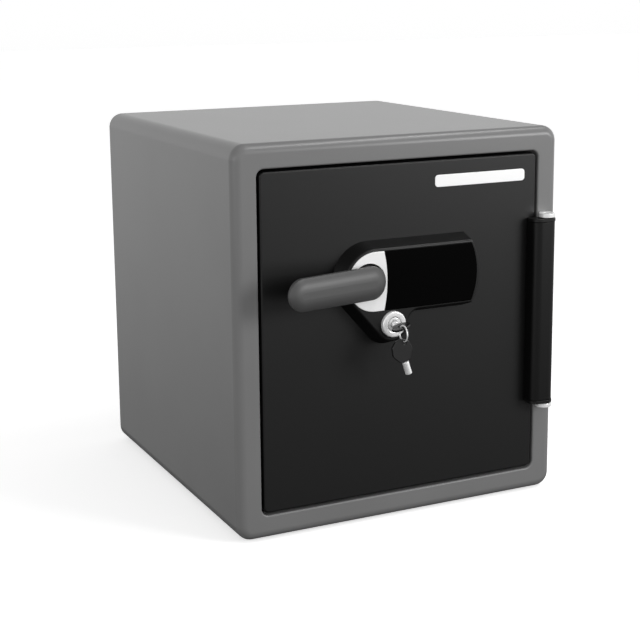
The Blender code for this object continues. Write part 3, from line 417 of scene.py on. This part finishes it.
def finish(
    name, colour, vary=0.06, clouds=9.0, roughness=(0.4, 0.5), grain=900.0, relief=0.00002,
    stretch=(1.0, 1.0, 1.0), metallic=0.0, specular=0.5,
):
    """Slow clouds in the colour, and a fine grain in the gloss and the relief."""
    made = bpy.data.materials.new(name)
    made.use_nodes = True
    tree = made.node_tree
    shader = tree.nodes["Principled BSDF"]
    dark = [c * (1 - vary) for c in colour]
    light = [min(1.0, c * (1 + vary)) for c in colour]
    cloud = noise(tree, clouds, detail=4.0)
    tree.links.new(colours(tree, cloud, ((0.3, dark), (0.7, light))), shader.inputs["Base Color"])
    fine = noise(tree, grain, stretch)
    tree.links.new(spread(tree, fine, *roughness), shader.inputs["Roughness"])
    bump = tree.nodes.new("ShaderNodeBump")
    bump.inputs["Strength"].default_value = 1.0
    bump.inputs["Distance"].default_value = relief
    tree.links.new(fine, bump.inputs["Height"])
    tree.links.new(bump.outputs["Normal"], shader.inputs["Normal"])
    shader.inputs["Metallic"].default_value = metallic
    shader.inputs["Specular IOR Level"].default_value = specular
    made.diffuse_color = (*colour, 1.0)
    return made


def grey(value):
    return (value, value, value)


def circuit_board():
    """Green lacquer with a grid of lighter tracks."""
    made = finish("circuit_board", (0.02, 0.16, 0.07), grain=600.0)
    tree = made.node_tree
    places = tree.nodes.new("ShaderNodeTexCoord")
    bricks = tree.nodes.new("ShaderNodeTexBrick")
    bricks.inputs["Scale"].default_value = 90.0
    bricks.inputs["Mortar Size"].default_value = 0.06
    bricks.inputs["Color1"].default_value = (0.015, 0.13, 0.055, 1.0)
    bricks.inputs["Color2"].default_value = (0.02, 0.16, 0.07, 1.0)
    bricks.inputs["Mortar"].default_value = (0.10, 0.30, 0.14, 1.0)
    turn = tree.nodes.new("ShaderNodeMapping")
    turn.inputs["Rotation"].default_value = (math.radians(90), 0.0, 0.0)
    tree.links.new(places.outputs["Object"], turn.inputs["Vector"])
    tree.links.new(turn.outputs["Vector"], bricks.inputs["Vector"])
    tree.links.new(bricks.outputs["Color"], tree.nodes["Principled BSDF"].inputs["Base Color"])
    return made


def battery_wrap():
    """A dark printed sleeve with a pale band towards one end, and bare metal at both ends."""
    made = finish("battery_wrap", grey(0.03), roughness=(0.25, 0.32), grain=300.0, relief=0.000005)
    tree = made.node_tree
    places = tree.nodes.new("ShaderNodeTexCoord")
    split = tree.nodes.new("ShaderNodeSeparateXYZ")
    away = tree.nodes.new("ShaderNodeMapRange")
    away.inputs["From Min"].default_value = -0.026
    away.inputs["From Max"].default_value = 0.026
    tree.links.new(places.outputs["Object"], split.inputs["Vector"])
    tree.links.new(split.outputs["X"], away.inputs["Value"])
    bands = colours(tree, away.outputs["Result"], (
        (0.0, grey(0.6)), (0.03, grey(0.03)), (0.66, grey(0.42)), (0.95, grey(0.6)),
    ))
    ramp = bands.node
    ramp.color_ramp.interpolation = "CONSTANT"
    tree.links.new(bands, tree.nodes["Principled BSDF"].inputs["Base Color"])
    return made


def make_finishes():
    along_x = (0.03, 1.0, 1.0)
    around = (1.0, 0.02, 1.0)
    return {
        "body": finish(
            "powder_coat_grey", grey(0.18), 0.03, roughness=(0.28, 0.34), grain=1300.0, specular=0.4,
        ),
        "door": finish(
            "powder_coat_charcoal", grey(0.004), 0.05, roughness=(0.38, 0.44), grain=1300.0, specular=0.35,
        ),
        "hinge": finish(
            "powder_coat_hinge", grey(0.002), 0.05, roughness=(0.34, 0.40), grain=1300.0, specular=0.25,
        ),
        "lever": finish(
            "lever_paint", grey(0.07), 0.04, roughness=(0.42, 0.48), grain=1600.0, relief=0.00001,
        ),
        "housing": finish(
            "moulded_housing", grey(0.005), 0.08, roughness=(0.34, 0.42), grain=2200.0, relief=0.00001,
            specular=0.3,
        ),
        "screen": finish(
            "touch_glass", grey(0.001), 0.20, roughness=(0.05, 0.08), grain=120.0, relief=0.000001,
            specular=0.03,
        ),
        "silver": finish(
            "brushed_silver", grey(0.93), 0.02, roughness=(0.30, 0.38), grain=1500.0, relief=0.000004,
            stretch=along_x, metallic=0.25,
        ),
        "bright_metal": finish(
            "satin_nickel", grey(0.94), 0.02, roughness=(0.18, 0.25), grain=500.0, relief=0.000003,
            metallic=0.35,
        ),
        "steel": finish(
            "zinc_plate", grey(0.82), 0.05, clouds=60.0, roughness=(0.24, 0.34), grain=900.0, relief=0.00001,
            stretch=around, metallic=0.5,
        ),
        "liner": finish(
            "moulded_liner", grey(0.24), 0.04, roughness=(0.50, 0.62), grain=1400.0, relief=0.00004,
        ),
        "insulation": finish(
            "poured_fill", (0.62, 0.60, 0.55), 0.12, clouds=140.0, roughness=(0.80, 0.95), grain=500.0,
            relief=0.0003,
        ),
        "rubber": finish(
            "moulded_rubber", grey(0.012), 0.10, roughness=(0.62, 0.75), grain=1500.0, relief=0.00003,
        ),
        "board": circuit_board(),
        "battery": battery_wrap(),
        "key": finish("key_plastic", grey(0.010), 0.08, roughness=(0.25, 0.33), grain=1800.0, relief=0.00001),
    }


# ---------------------------------------------------------------- cabinet
def outer_shell(look):
    rings = [body_ring(FRAME_INSET, 0.010, FRAME_R)]
    for t in quarter(6):
        out = FRAME_EDGE_R * (1 - math.cos(t))
        rings.append(body_ring(FRAME_INSET - out, FRAME_EDGE_R * (1 - math.sin(t)), FRAME_R + out))
    for t in quarter(12):
        inset = FRONT_ROUND * (1 - math.sin(t))
        rings.append(body_ring(inset, FRONT_ROUND * (1 - math.cos(t)), EDGE_R - inset))
    for t in reversed(quarter(10)):
        inset = BACK_ROUND * (1 - math.sin(t))
        rings.append(body_ring(inset, BODY_D - BACK_ROUND * (1 - math.cos(t)), EDGE_R - inset))
    rim, inside = BACK_ROUND + 0.005, EDGE_R - STEEL
    rings += [
        body_ring(rim - 0.0008, BODY_D, 0.0068),
        body_ring(rim, BODY_D - 0.0008, 0.006),
        body_ring(rim, BODY_D - STEEL, 0.006),
        body_ring(BACK_ROUND, BODY_D - STEEL, EDGE_R - BACK_ROUND),
        body_ring(STEEL, BODY_D - BACK_ROUND, inside),
        body_ring(STEEL, FRONT_ROUND, inside),
        body_ring(FRONT_ROUND, STEEL, EDGE_R - FRONT_ROUND),
        body_ring(FRAME_INSET - STEEL, STEEL, FRAME_R + STEEL),
        body_ring(FRAME_INSET - STEEL, 0.010, FRAME_R + STEEL),
    ]
    made = place("shell_skin", skin(rings, closed=True), look["body"])
    slots = []
    for node in ("hinge_bracket_lower", "hinge_bracket_upper"):
        low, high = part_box(node)
        front_low = (SHANK_X - FIT, -0.004, low.z - FIT)
        back_high = (high.x + FIT, BRACKET_DEEP + 2 * FIT, high.z + FIT)
        slots.append(block("slot_" + node, front_low, back_high, look["body"]))
    settle_normals(combine(made, slots))
    dress(made, "cabinet", "body", "outer_shell")


def hinge_bracket(look, tag):
    node = "hinge_bracket_" + tag
    low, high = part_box(node)
    start = math.degrees(math.acos((SHANK_X - HINGE.x) / BRACKET_R))
    eye = arc(HINGE.x, -HINGE_OUT, BRACKET_R, start, 360, 56)
    outline = eye + [(HINGE.x + BRACKET_R, BRACKET_DEEP), (SHANK_X, BRACKET_DEEP)]
    rings = [at_height(outline, z) for z in (low.z, high.z)]
    made = place("bracket_" + tag, skin(rings), look["bright_metal"])
    hole = turned(
        "hole", ((HINGE_PIN_R + FIT, low.z - 0.01), (HINGE_PIN_R + FIT, high.z + 0.01)),
        (HINGE.x, HINGE.y, 0.0), look["bright_metal"], "Z", 48,
    )
    settle_normals(bevel(combine(made, [hole]), 0.0006))
    dress(made, "cabinet", "bright_metal", node)


def hinge_pin(look):
    low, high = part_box("hinge_pin")
    ends = [(HINGE_PIN_R * math.sin(t), PIN_DOME * (1 - math.cos(t))) for t in quarter(6)[1:]]
    profile = [(r, low.z + h) for r, h in ends] + [(r, high.z - h) for r, h in reversed(ends)]
    made = turned("pin_of_hinge", profile, (HINGE.x, HINGE.y, 0.0), look["steel"], "Z", 40)
    dress(made, "cabinet", "steel", "hinge_pin")


def feet(look):
    for end in ("front", "back"):
        for side in ("left", "right"):
            node = f"foot_{end}_{side}"
            low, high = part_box(node)
            radius, height = (high.x - low.x) / 2, high.z - low.z
            profile = [(radius - 0.0008, 0.0), (radius - 0.0002, 0.0002), (radius, 0.0008), (radius, height)]
            centre = ((low.x + high.x) / 2, (low.y + high.y) / 2, low.z)
            dress(turned("pad_" + node, profile, centre, look["rubber"], "Z", 48), "cabinet", "rubber", node)


# ---------------------------------------------------------------- door
def bore(name, x, z, radius, front, back, look, steps=48):
    return turned(name, ((radius, front), (radius, back)), (x, FRONT, z), look["steel"], "Y", steps)


def door_skin(look):
    rings = []
    for t in quarter(8):
        inset = DOOR_INSET + DOOR_EDGE_R * (1 - math.sin(t))
        rings.append(body_ring(inset, DOOR_EDGE_R * (1 - math.cos(t)), DOOR_R - (inset - DOOR_INSET)))
    rings += [
        body_ring(DOOR_INSET, DOOR_RETURN, DOOR_R),
        body_ring(DOOR_INSET + STEEL, DOOR_RETURN, DOOR_R - 0.002),
        body_ring(DOOR_INSET + STEEL, STEEL, DOOR_R - 0.002),
    ]
    made = place("door_face", skin(rings), look["door"])
    holes = [
        bore("spindle_hole", LEVER.x, LEVER.z, SPINDLE_HOLE_R, -0.01, 0.01, look),
        bore("lock_hole", LOCK.x, LOCK.z, LOCK_HOLE_R, -0.01, 0.01, look),
    ]
    settle_normals(combine(made, holes))
    dress(made, "door", "door", "door_skin")


def bar_outline(nose_r):
    """Seen from above, in (x, depth): a rounded front, a nose round the pin, and a flat back."""
    shoulder = 0.010
    front = -HINGE_OUT - BAR_NOSE_R
    left_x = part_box("hinge_bar")[0].x
    nose = arc(HINGE.x, -HINGE_OUT, nose_r, 90, -90, 36)
    return nose + arc(left_x + shoulder, front + shoulder, shoulder, 270, 180, 18) + [
        (left_x, -HINGE_OUT + BAR_NOSE_R)
    ]


def hinge_bar(look):
    low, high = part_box("hinge_bar")
    outline = bar_outline(BAR_NOSE_R)
    rings = [at_height(outline, z) for z in (low.z, high.z)]
    made = place("hinge_barrel", skin(rings), look["hinge"])
    hole = turned(
        "hole", ((SLEEVE_R + FIT, low.z - 0.01), (SLEEVE_R + FIT, high.z + 0.01)),
        (HINGE.x, HINGE.y, 0.0), look["hinge"], "Z", 48,
    )
    settle_normals(bevel(combine(made, [hole]), 0.0005))
    dress(made, "door", "hinge", "hinge_bar")


def hinge_bush(look, tag, into):
    node = "hinge_bush_" + tag
    low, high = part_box(node)
    end = low.z if into > 0 else high.z
    reach = end + (BAR_CAP_H - FIT) * into
    outline = [(x, min(d, -FIT)) for x, d in bar_outline(BAR_CAP_R)]
    levels = sorted((end, reach))
    made = place("bush_" + tag, skin([at_height(outline, z) for z in levels]), look["housing"])
    axis = (HINGE.x, HINGE.y, 0.0)
    sleeve = turned(
        "sleeve", ((SLEEVE_R, end + 0.001 * into), (SLEEVE_R, end + (BAR_CAP_H + SLEEVE_DEEP) * into)),
        axis, look["housing"], "Z", 48,
    )
    combine(made, [sleeve], "UNION")
    hole = turned(
        "hole", ((HINGE_PIN_R + FIT, low.z - 0.01), (HINGE_PIN_R + FIT, high.z + 0.01)), axis,
        look["housing"], "Z", 48,
    )
    settle_normals(bevel(combine(made, [hole]), 0.0004, 2))
    dress(made, "door", "housing", node)


def lock_housing(look):
    """A moulded case with a rounded rim, flanks that sweep out to the door, and a hollow back."""
    flank = (
        (-0.0024, HOUSING_OUT), (-0.0014, HOUSING_OUT - 0.0001), (-0.0004, HOUSING_OUT - 0.0006),
        (0.0003, HOUSING_OUT - 0.0016), (0.0010, HOUSING_OUT - 0.0034), (0.0029, 0.0110), (0.0048, 0.0056),
        (0.0060, 0.0022), (0.0067, FIT),
    )
    rings = [at_depth(housing_outline(grow), -out) for grow, out in through_points(flank, 4)]
    rings += [
        at_depth(housing_outline(0.0044), -FIT),
        at_depth(housing_outline(-0.0020), -HOUSING_OUT + 0.0058),
    ]
    made = place("lock_case", skin(rings), look["housing"])
    grow = PLATE_R + FIT
    pocket = bulged_edge(SCREEN_X[1] + FIT, PLATE_Z - grow, PLATE_Z + grow, SCREEN_BULGE)
    pocket += arc(PLATE_X, PLATE_Z, grow, 90, 270, 56)
    cutters = [
        slab("pocket", pocket, -0.030, PLATE_SEAT + FIT, look["housing"]),
        bore("hub_hole", LEVER.x, LEVER.z, HUB_HOLE_R, -0.04, -0.010, look, 72),
        bore("lock_hole", LOCK.x, LOCK.z, LOCK_HOLE_R, -0.04, -0.010, look),
    ]
    settle_normals(combine(made, cutters))
    dress(made, "door", "housing", "lock_housing")


def handle_surround(look):
    front = -HOUSING_OUT - 0.0006
    made = cushion_slab("lever_plate", plate_outline(), front, PLATE_SEAT, 0.0006, look["silver"])
    settle_normals(combine(made, [bore("hole", LEVER.x, LEVER.z, HUB_HOLE_R, -0.04, 0.0, look, 72)]))
    dress(made, "door", "silver", "handle_surround")


def touch_screen(look):
    front = -HOUSING_OUT - 0.0002
    made = cushion_slab("screen_glass", screen_outline(), front, PLATE_SEAT, 0.0005, look["screen"])
    dress(settle_normals(made), "door", "screen", "touch_screen")


def badge(look):
    low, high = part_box("badge")
    outline = rounded_rectangle(low.x, high.x, low.z, high.z, 0.004, 10)
    made = cushion_slab("blank_badge", outline, -0.0012, -FIT, 0.0004, look["silver"])
    dress(settle_normals(made), "door", "silver", "badge")


def lock_cylinder(look):
    """The collar on the housing, with a flat face and a barrel that runs back into the door."""
    out = HOUSING_OUT + FIT
    face = -out - 0.0046
    profile = [(0.0083, 0.0230), (0.0083, face + 0.0012), (0.0086, face + 0.0008)]
    profile += [(0.0092, face + 0.0002), (0.0100, face)]
    profile += [(LOCK_R - 0.0016 * (1 - math.sin(t)), face + 0.0016 * (1 - math.cos(t))) for t in quarter(6)]
    profile += [(LOCK_R, -out), (0.0110, -out), (0.0110, 0.0220), (0.0100, 0.0230)]
    made = turned("lock_collar", profile, LOCK, look["bright_metal"], "Y", 96, closed=True)
    dress(settle_normals(made), "door", "bright_metal", "lock_cylinder")


def bolts(look):
    for side in ("left", "right"):
        for height in ("lower", "upper"):
            node = f"bolt_{side}_{height}"
            low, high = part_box(node)
            centre = ((low.x + high.x) / 2, (low.y + high.y) / 2, (low.z + high.z) / 2)
            half = (high.x - low.x) / 2
            tip = [
                (BOLT_R - BOLT_TIP_R * (1 - math.cos(t)), half - BOLT_TIP_R * (1 - math.sin(t)))
                for t in quarter(6)
            ]
            outer = 1 if side == "right" else -1
            profile = [(BOLT_R, -half * outer)] + [(r, x * outer) for r, x in tip]
            made = turned(f"bolt_bar_end_{side}_{height}", profile, centre, look["bright_metal"], "X", 64)
            dress(settle_normals(made), "bolts_" + side, "bright_metal", node)


def batteries(look):
    for index in range(1, 5):
        node = f"battery_{index}"
        low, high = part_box(node)
        centre = Vector(((low.x + high.x) / 2, (low.y + high.y) / 2, (low.z + high.z) / 2))
        radius, half = (high.z - low.z) / 2, (high.x - low.x) / 2
        flip = -1 if index % 2 else 1
        shape = (
            (radius - 0.0012, -half), (radius - 0.0004, -half + 0.0002), (radius, -half + 0.0008),
            (radius, half - 0.0022), (radius - 0.0004, half - 0.0016), (radius - 0.0014, half - 0.0013),
            (0.0027, half - 0.0012), (0.0026, half - 0.0003), (0.0022, half),
        )
        made = turned(f"cell_{index}", [(r, x * flip) for r, x in shape], centre, look["battery"], "X", 48)
        dress(settle_normals(made), "door", "battery", node)


def screw_heads(look):
    """Cross-head screws near the corners of the inner panel."""
    low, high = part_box("door_inner_panel")
    places = [(side * (high.x - 0.036), z) for side in (-1, 1) for z in (low.z + 0.040, high.z - 0.040)]
    dome = [(SCREW_R * math.cos(t), SCREW_H * math.sin(t)) for t in quarter(6)[:-1]]
    profile = [(SCREW_R, -0.0004)] + dome + [(0.0004, SCREW_H)]
    for index, (x, z) in enumerate(places):
        head = turned(f"screw_{index}", profile, (x, high.y, z), look["steel"], "Y", 40)
        floor_at = high.y - FRONT + SCREW_SLOT
        slots = []
        for width, height in ((0.0044, SCREW_SLOT), (SCREW_SLOT, 0.0044)):
            slots.append(block(
                "slot", (x - width / 2, floor_at, z - height / 2),
                (x + width / 2, high.y - FRONT + 0.003, z + height / 2), look["steel"],
            ))
        dress(settle_normals(combine(head, slots)), "door", "steel")


# ---------------------------------------------------------------- lever and keys
def lever_ring(radius, out, steps=40):
    """A round-ended bar, narrower to the left, in a plane that rises from the door to the left."""
    outline = arc(LEVER.x, LEVER.z, radius, -90, 90, steps)
    outline += arc(LEVER_END_X, LEVER.z, radius * LEVER_TAPER, 90, 270, steps)
    return [Vector((x, FRONT - out - LEVER_RISE * (LEVER.x - x), z)) for x, z in outline]


def lever(look):
    """The grip leans out from its hub. Its face is gently crowned, with a tight round at the rim."""
    back = (
        (0.0158, 0.0225), (0.0172, 0.0227), (0.0184, 0.0236), (LEVER_R, 0.0254), (LEVER_R, 0.0285),
    )
    radii = (0.0188, 0.0180, 0.0166, 0.0145, 0.0115, 0.0080, 0.0040)
    crown = tuple((radius, LEVER_CROWN - 0.0058 * (radius / LEVER_R) ** 3.0) for radius in radii)
    profile = through_points(back + crown, 5)
    length = LEVER.x - LEVER_END_X
    reach = max(out + LEVER_RISE * (length + radius * LEVER_TAPER) for radius, out in profile)
    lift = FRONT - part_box("lever_handle")[0].y - reach
    rings = [lever_ring(radius, out + lift) for radius, out in profile]
    made = place("lever_grip", skin(rings), look["lever"])
    hub = turned(
        "hub", ((0.0160, -0.0285), (HUB_R - 0.0004, -0.0250), (HUB_R, -0.0240), (HUB_R, -0.0145)),
        (LEVER.x, FRONT, LEVER.z), look["lever"], "Y", 72,
    )
    settle_normals(combine(made, [hub], "UNION"))
    dress(made, "handle", "lever", "lever_handle")


def key_plug(look):
    """The turning plug, with a round way for the tubular key, a tail and a crank pin."""
    nose = HOUSING_OUT + 0.0043
    way = 0.0045
    profile = (
        (0.0005, -0.0170), (way, -0.0170), (way, -nose + 0.0004), (way + 0.0004, -nose), (0.0074, -nose),
        (0.0078, -nose + 0.0002), (0.0080, -nose + 0.0008), (0.0080, 0.0200), (0.0045, 0.0200),
        (0.0045, 0.0310), (0.0120, 0.0310), (0.0120, 0.0342), (0.0040, 0.0342),
    )
    made = turned("lock_plug", profile, LOCK, look["steel"], "Y", 64)
    x, z = polar(LOCK.x, LOCK.z, CRANK_R, CRANK_START)
    pin = turned("pin", ((0.0025, 0.0332), (0.0025, 0.0398)), (x, FRONT, z), look["steel"], "Y", 32)
    settle_normals(combine(made, [pin], "UNION"))
    dress(made, "key", "steel", "key_plug")


def pillow(outline, half, edge, axis_point, steps=5):
    """Rings of a flat piece with both edges rounded. axis_point turns (u, v, level) into a place."""
    rings = []
    for t in quarter(steps):
        rings.append((offset(outline, -edge * (1 - math.sin(t))), -half + edge * (1 - math.cos(t))))
    for t in reversed(quarter(steps)):
        rings.append((offset(outline, -edge * (1 - math.sin(t))), half - edge * (1 - math.cos(t))))
    return [[axis_point(u, v, level) for u, v in ring] for ring, level in rings]


def lean(piece, centre, angle):
    turn = Matrix.Translation(centre) @ Matrix.Rotation(angle, 4, "Y") @ Matrix.Translation(-Vector(centre))
    piece.data.transform(turn)
    return piece


def key_head(look):
    start = BOW_FRONT - BOW_LENGTH
    outline = bow_outline(BOW_WIDTH, BOW_LENGTH, 0.0055)
    made = place("key_bow", skin(pillow(
        outline, BOW_T / 2, BOW_EDGE_R, lambda u, v, level: LOCK + Vector((u, -start - v, level)),
    )), look["key"])
    hole_at = Vector((LOCK.x, RING_TOP.y + BOW_HOLE_BACK, LOCK.z))
    hole = turned("hole", ((BOW_HOLE_R, -0.01), (BOW_HOLE_R, 0.01)), hole_at, look["key"], "Z", 40)
    combine(made, [hole])
    dress(settle_normals(lean(made, LOCK, KEY_LEAN)), "key", "key", "key_head")


def key_barrel(look):
    front = BOW_FRONT - BOW_LENGTH - FIT
    profile = (
        (0.0033, -front), (0.0037, -front + 0.0002), (0.0039, -front + 0.0006), (0.0039, -0.0182),
        (0.0037, -0.0180), (0.0027, -0.0180), (0.0026, -0.0184), (0.0026, -0.0280), (0.0005, -0.0280),
    )
    made = turned("key_tube", profile, LOCK, look["bright_metal"], "Y", 48)
    dress(settle_normals(made), "key", "bright_metal", "key_barrel")


def key_ring(look):
    radius = (RING_TOP.z - RING_BOTTOM.z) / 2
    middle = (RING_TOP + RING_BOTTOM) / 2
    rings = []
    for i in range(96):
        t = 2 * math.pi * i / 96
        out = Vector((0.0, math.cos(t), math.sin(t)))
        section = []
        for j in range(16):
            s = 2 * math.pi * j / 16
            across = Vector((RING_WIRE * math.sin(s), 0.0, 0.0))
            section.append(middle + out * (radius + RING_WIRE * math.cos(s)) + across)
        rings.append(section)
    made = place("split_ring", skin(rings, closed=True), look["bright_metal"])
    dress(made, "key_ring", "bright_metal", "key_ring")


def spare_key(look):
    outline = bow_outline(SPARE_WIDTH, SPARE_LENGTH, 0.0060)
    across, up = SPARE_HOLE
    head = place("spare_bow", skin(pillow(
        outline, SPARE_T / 2, BOW_EDGE_R,
        lambda u, v, level: RING_BOTTOM + Vector((u - across, level, v - up - SPARE_SLACK)),
    )), look["key"])
    middle = RING_BOTTOM - Vector((0.0, 0.0, SPARE_SLACK))
    hole = turned("hole", ((SPARE_HOLE_R, -0.01), (SPARE_HOLE_R, 0.01)), middle, look["key"], "Y", 40)
    combine(head, [hole])
    lean(head, RING_BOTTOM, SPARE_LEAN)
    dress(settle_normals(head), "spare_key", "key", "spare_key_head")
    shoulder = RING_BOTTOM - Vector((across, 0.0, up + SPARE_SLACK + FIT))
    profile = (
        (0.0036, 0.0), (0.0039, -0.0004), (0.0039, -0.0146), (0.0036, -0.0150), (0.0028, -0.0150),
        (0.0027, -0.0147), (0.0027, -0.0040), (0.0005, -0.0040),
    )
    tube = turned("spare_tube", profile, shoulder, look["bright_metal"], "Z", 48)
    lean(tube, RING_BOTTOM, SPARE_LEAN)
    dress(settle_normals(tube), "spare_key", "bright_metal", "spare_key_barrel")


def recolour(look):
    """The CAD nodes that stay take the finish of their slot."""
    for part in frame["record"]["subparts"]:
        node = frame["nodes"][part["node"]]
        for holder in node.material_slots:
            holder.material = look[part["material_slot"]]


# ---------------------------------------------------------------- stage
def floor():
    """A wide pale floor that runs out into the white of the studio.

    It glows a little, so that it stays evenly white, and it lights and reflects in nothing else.
    """
    reach = 12.0
    corners = ((-reach, -reach), (reach, -reach), (reach, reach), (-reach, reach))
    bm = bmesh.new()
    bm.faces.new([bm.verts.new((x, y, 0.0)) for x, y in corners])
    made = place("studio_floor", bm, finish(
        "studio_paper", grey(0.94), 0.01, clouds=1.5, roughness=(0.85, 0.95), grain=60.0, relief=0.00005,
        specular=0.05,
    ))
    shader = made.data.materials[0].node_tree.nodes["Principled BSDF"]
    shader.inputs["Emission Color"].default_value = (1.0, 1.0, 1.0, 1.0)
    shader.inputs["Emission Strength"].default_value = 0.55
    made.visible_glossy = False
    made.visible_diffuse = False


def soft_light(name, location, target, size, watts):
    lamp = bpy.data.lights.new(name, "AREA")
    lamp.shape = "RECTANGLE"
    lamp.size, lamp.size_y = size
    lamp.energy = watts
    made = bpy.data.objects.new(name, lamp)
    made.location = location
    made.rotation_euler = (Vector(target) - Vector(location)).to_track_quat("-Z", "Y").to_euler()
    bpy.context.scene.collection.objects.link(made)


def studio():
    """A room that is white round the horizon and darker above and below, with three soft lights."""
    world = bpy.data.worlds.new("studio")
    world.use_nodes = True
    tree = world.node_tree
    places = tree.nodes.new("ShaderNodeTexCoord")
    split = tree.nodes.new("ShaderNodeSeparateXYZ")
    height = tree.nodes.new("ShaderNodeMapRange")
    height.inputs["From Min"].default_value = -1.0
    tree.links.new(places.outputs["Generated"], split.inputs["Vector"])
    tree.links.new(split.outputs["Z"], height.inputs["Value"])
    sky = colours(tree, height.outputs["Result"], (
        (0.28, grey(0.03)), (0.49, grey(1.0)), (0.58, grey(1.0)), (0.90, grey(0.30)),
    ))
    sky.node.color_ramp.interpolation = "EASE"
    tree.links.new(sky, tree.nodes["Background"].inputs["Color"])
    scene = bpy.context.scene
    scene.world = world
    scene.view_settings.view_transform = "Standard"
    middle = (0.0, -0.1, 0.3)
    soft_light("overhead", (0.8, -0.55, 2.0), middle, (1.4, 0.2), 12.0)
    soft_light("key", (1.6, -2.0, 0.9), middle, (1.0, 0.8), 26.0)
    soft_light("fill", (-2.2, -1.0, 0.7), middle, (1.4, 1.2), 8.0)


def camera():
    lens = bpy.data.cameras.new("camera")
    lens.lens = 79.17
    lens.sensor_width = 36.0
    lens.shift_y = -0.1
    lens.clip_end = 20.0
    made = bpy.data.objects.new("camera", lens)
    made.location = (-0.7755, -1.571, 0.6211)
    made.rotation_euler = [math.radians(a) for a in (79.0, 0.49, -25.93)]
    bpy.context.scene.collection.objects.link(made)
    bpy.context.scene.camera = made


def main():
    look = make_finishes()
    camera()
    recolour(look)
    outer_shell(look)
    for tag, into in (("lower", 1), ("upper", -1)):
        hinge_bracket(look, tag)
        hinge_bush(look, tag, into)
    hinge_pin(look)
    feet(look)
    door_skin(look)
    hinge_bar(look)
    lock_housing(look)
    handle_surround(look)
    touch_screen(look)
    badge(look)
    lock_cylinder(look)
    bolts(look)
    batteries(look)
    screw_heads(look)
    lever(look)
    key_plug(look)
    key_head(look)
    key_barrel(look)
    key_ring(look)
    spare_key(look)
    floor()
    studio()


main()
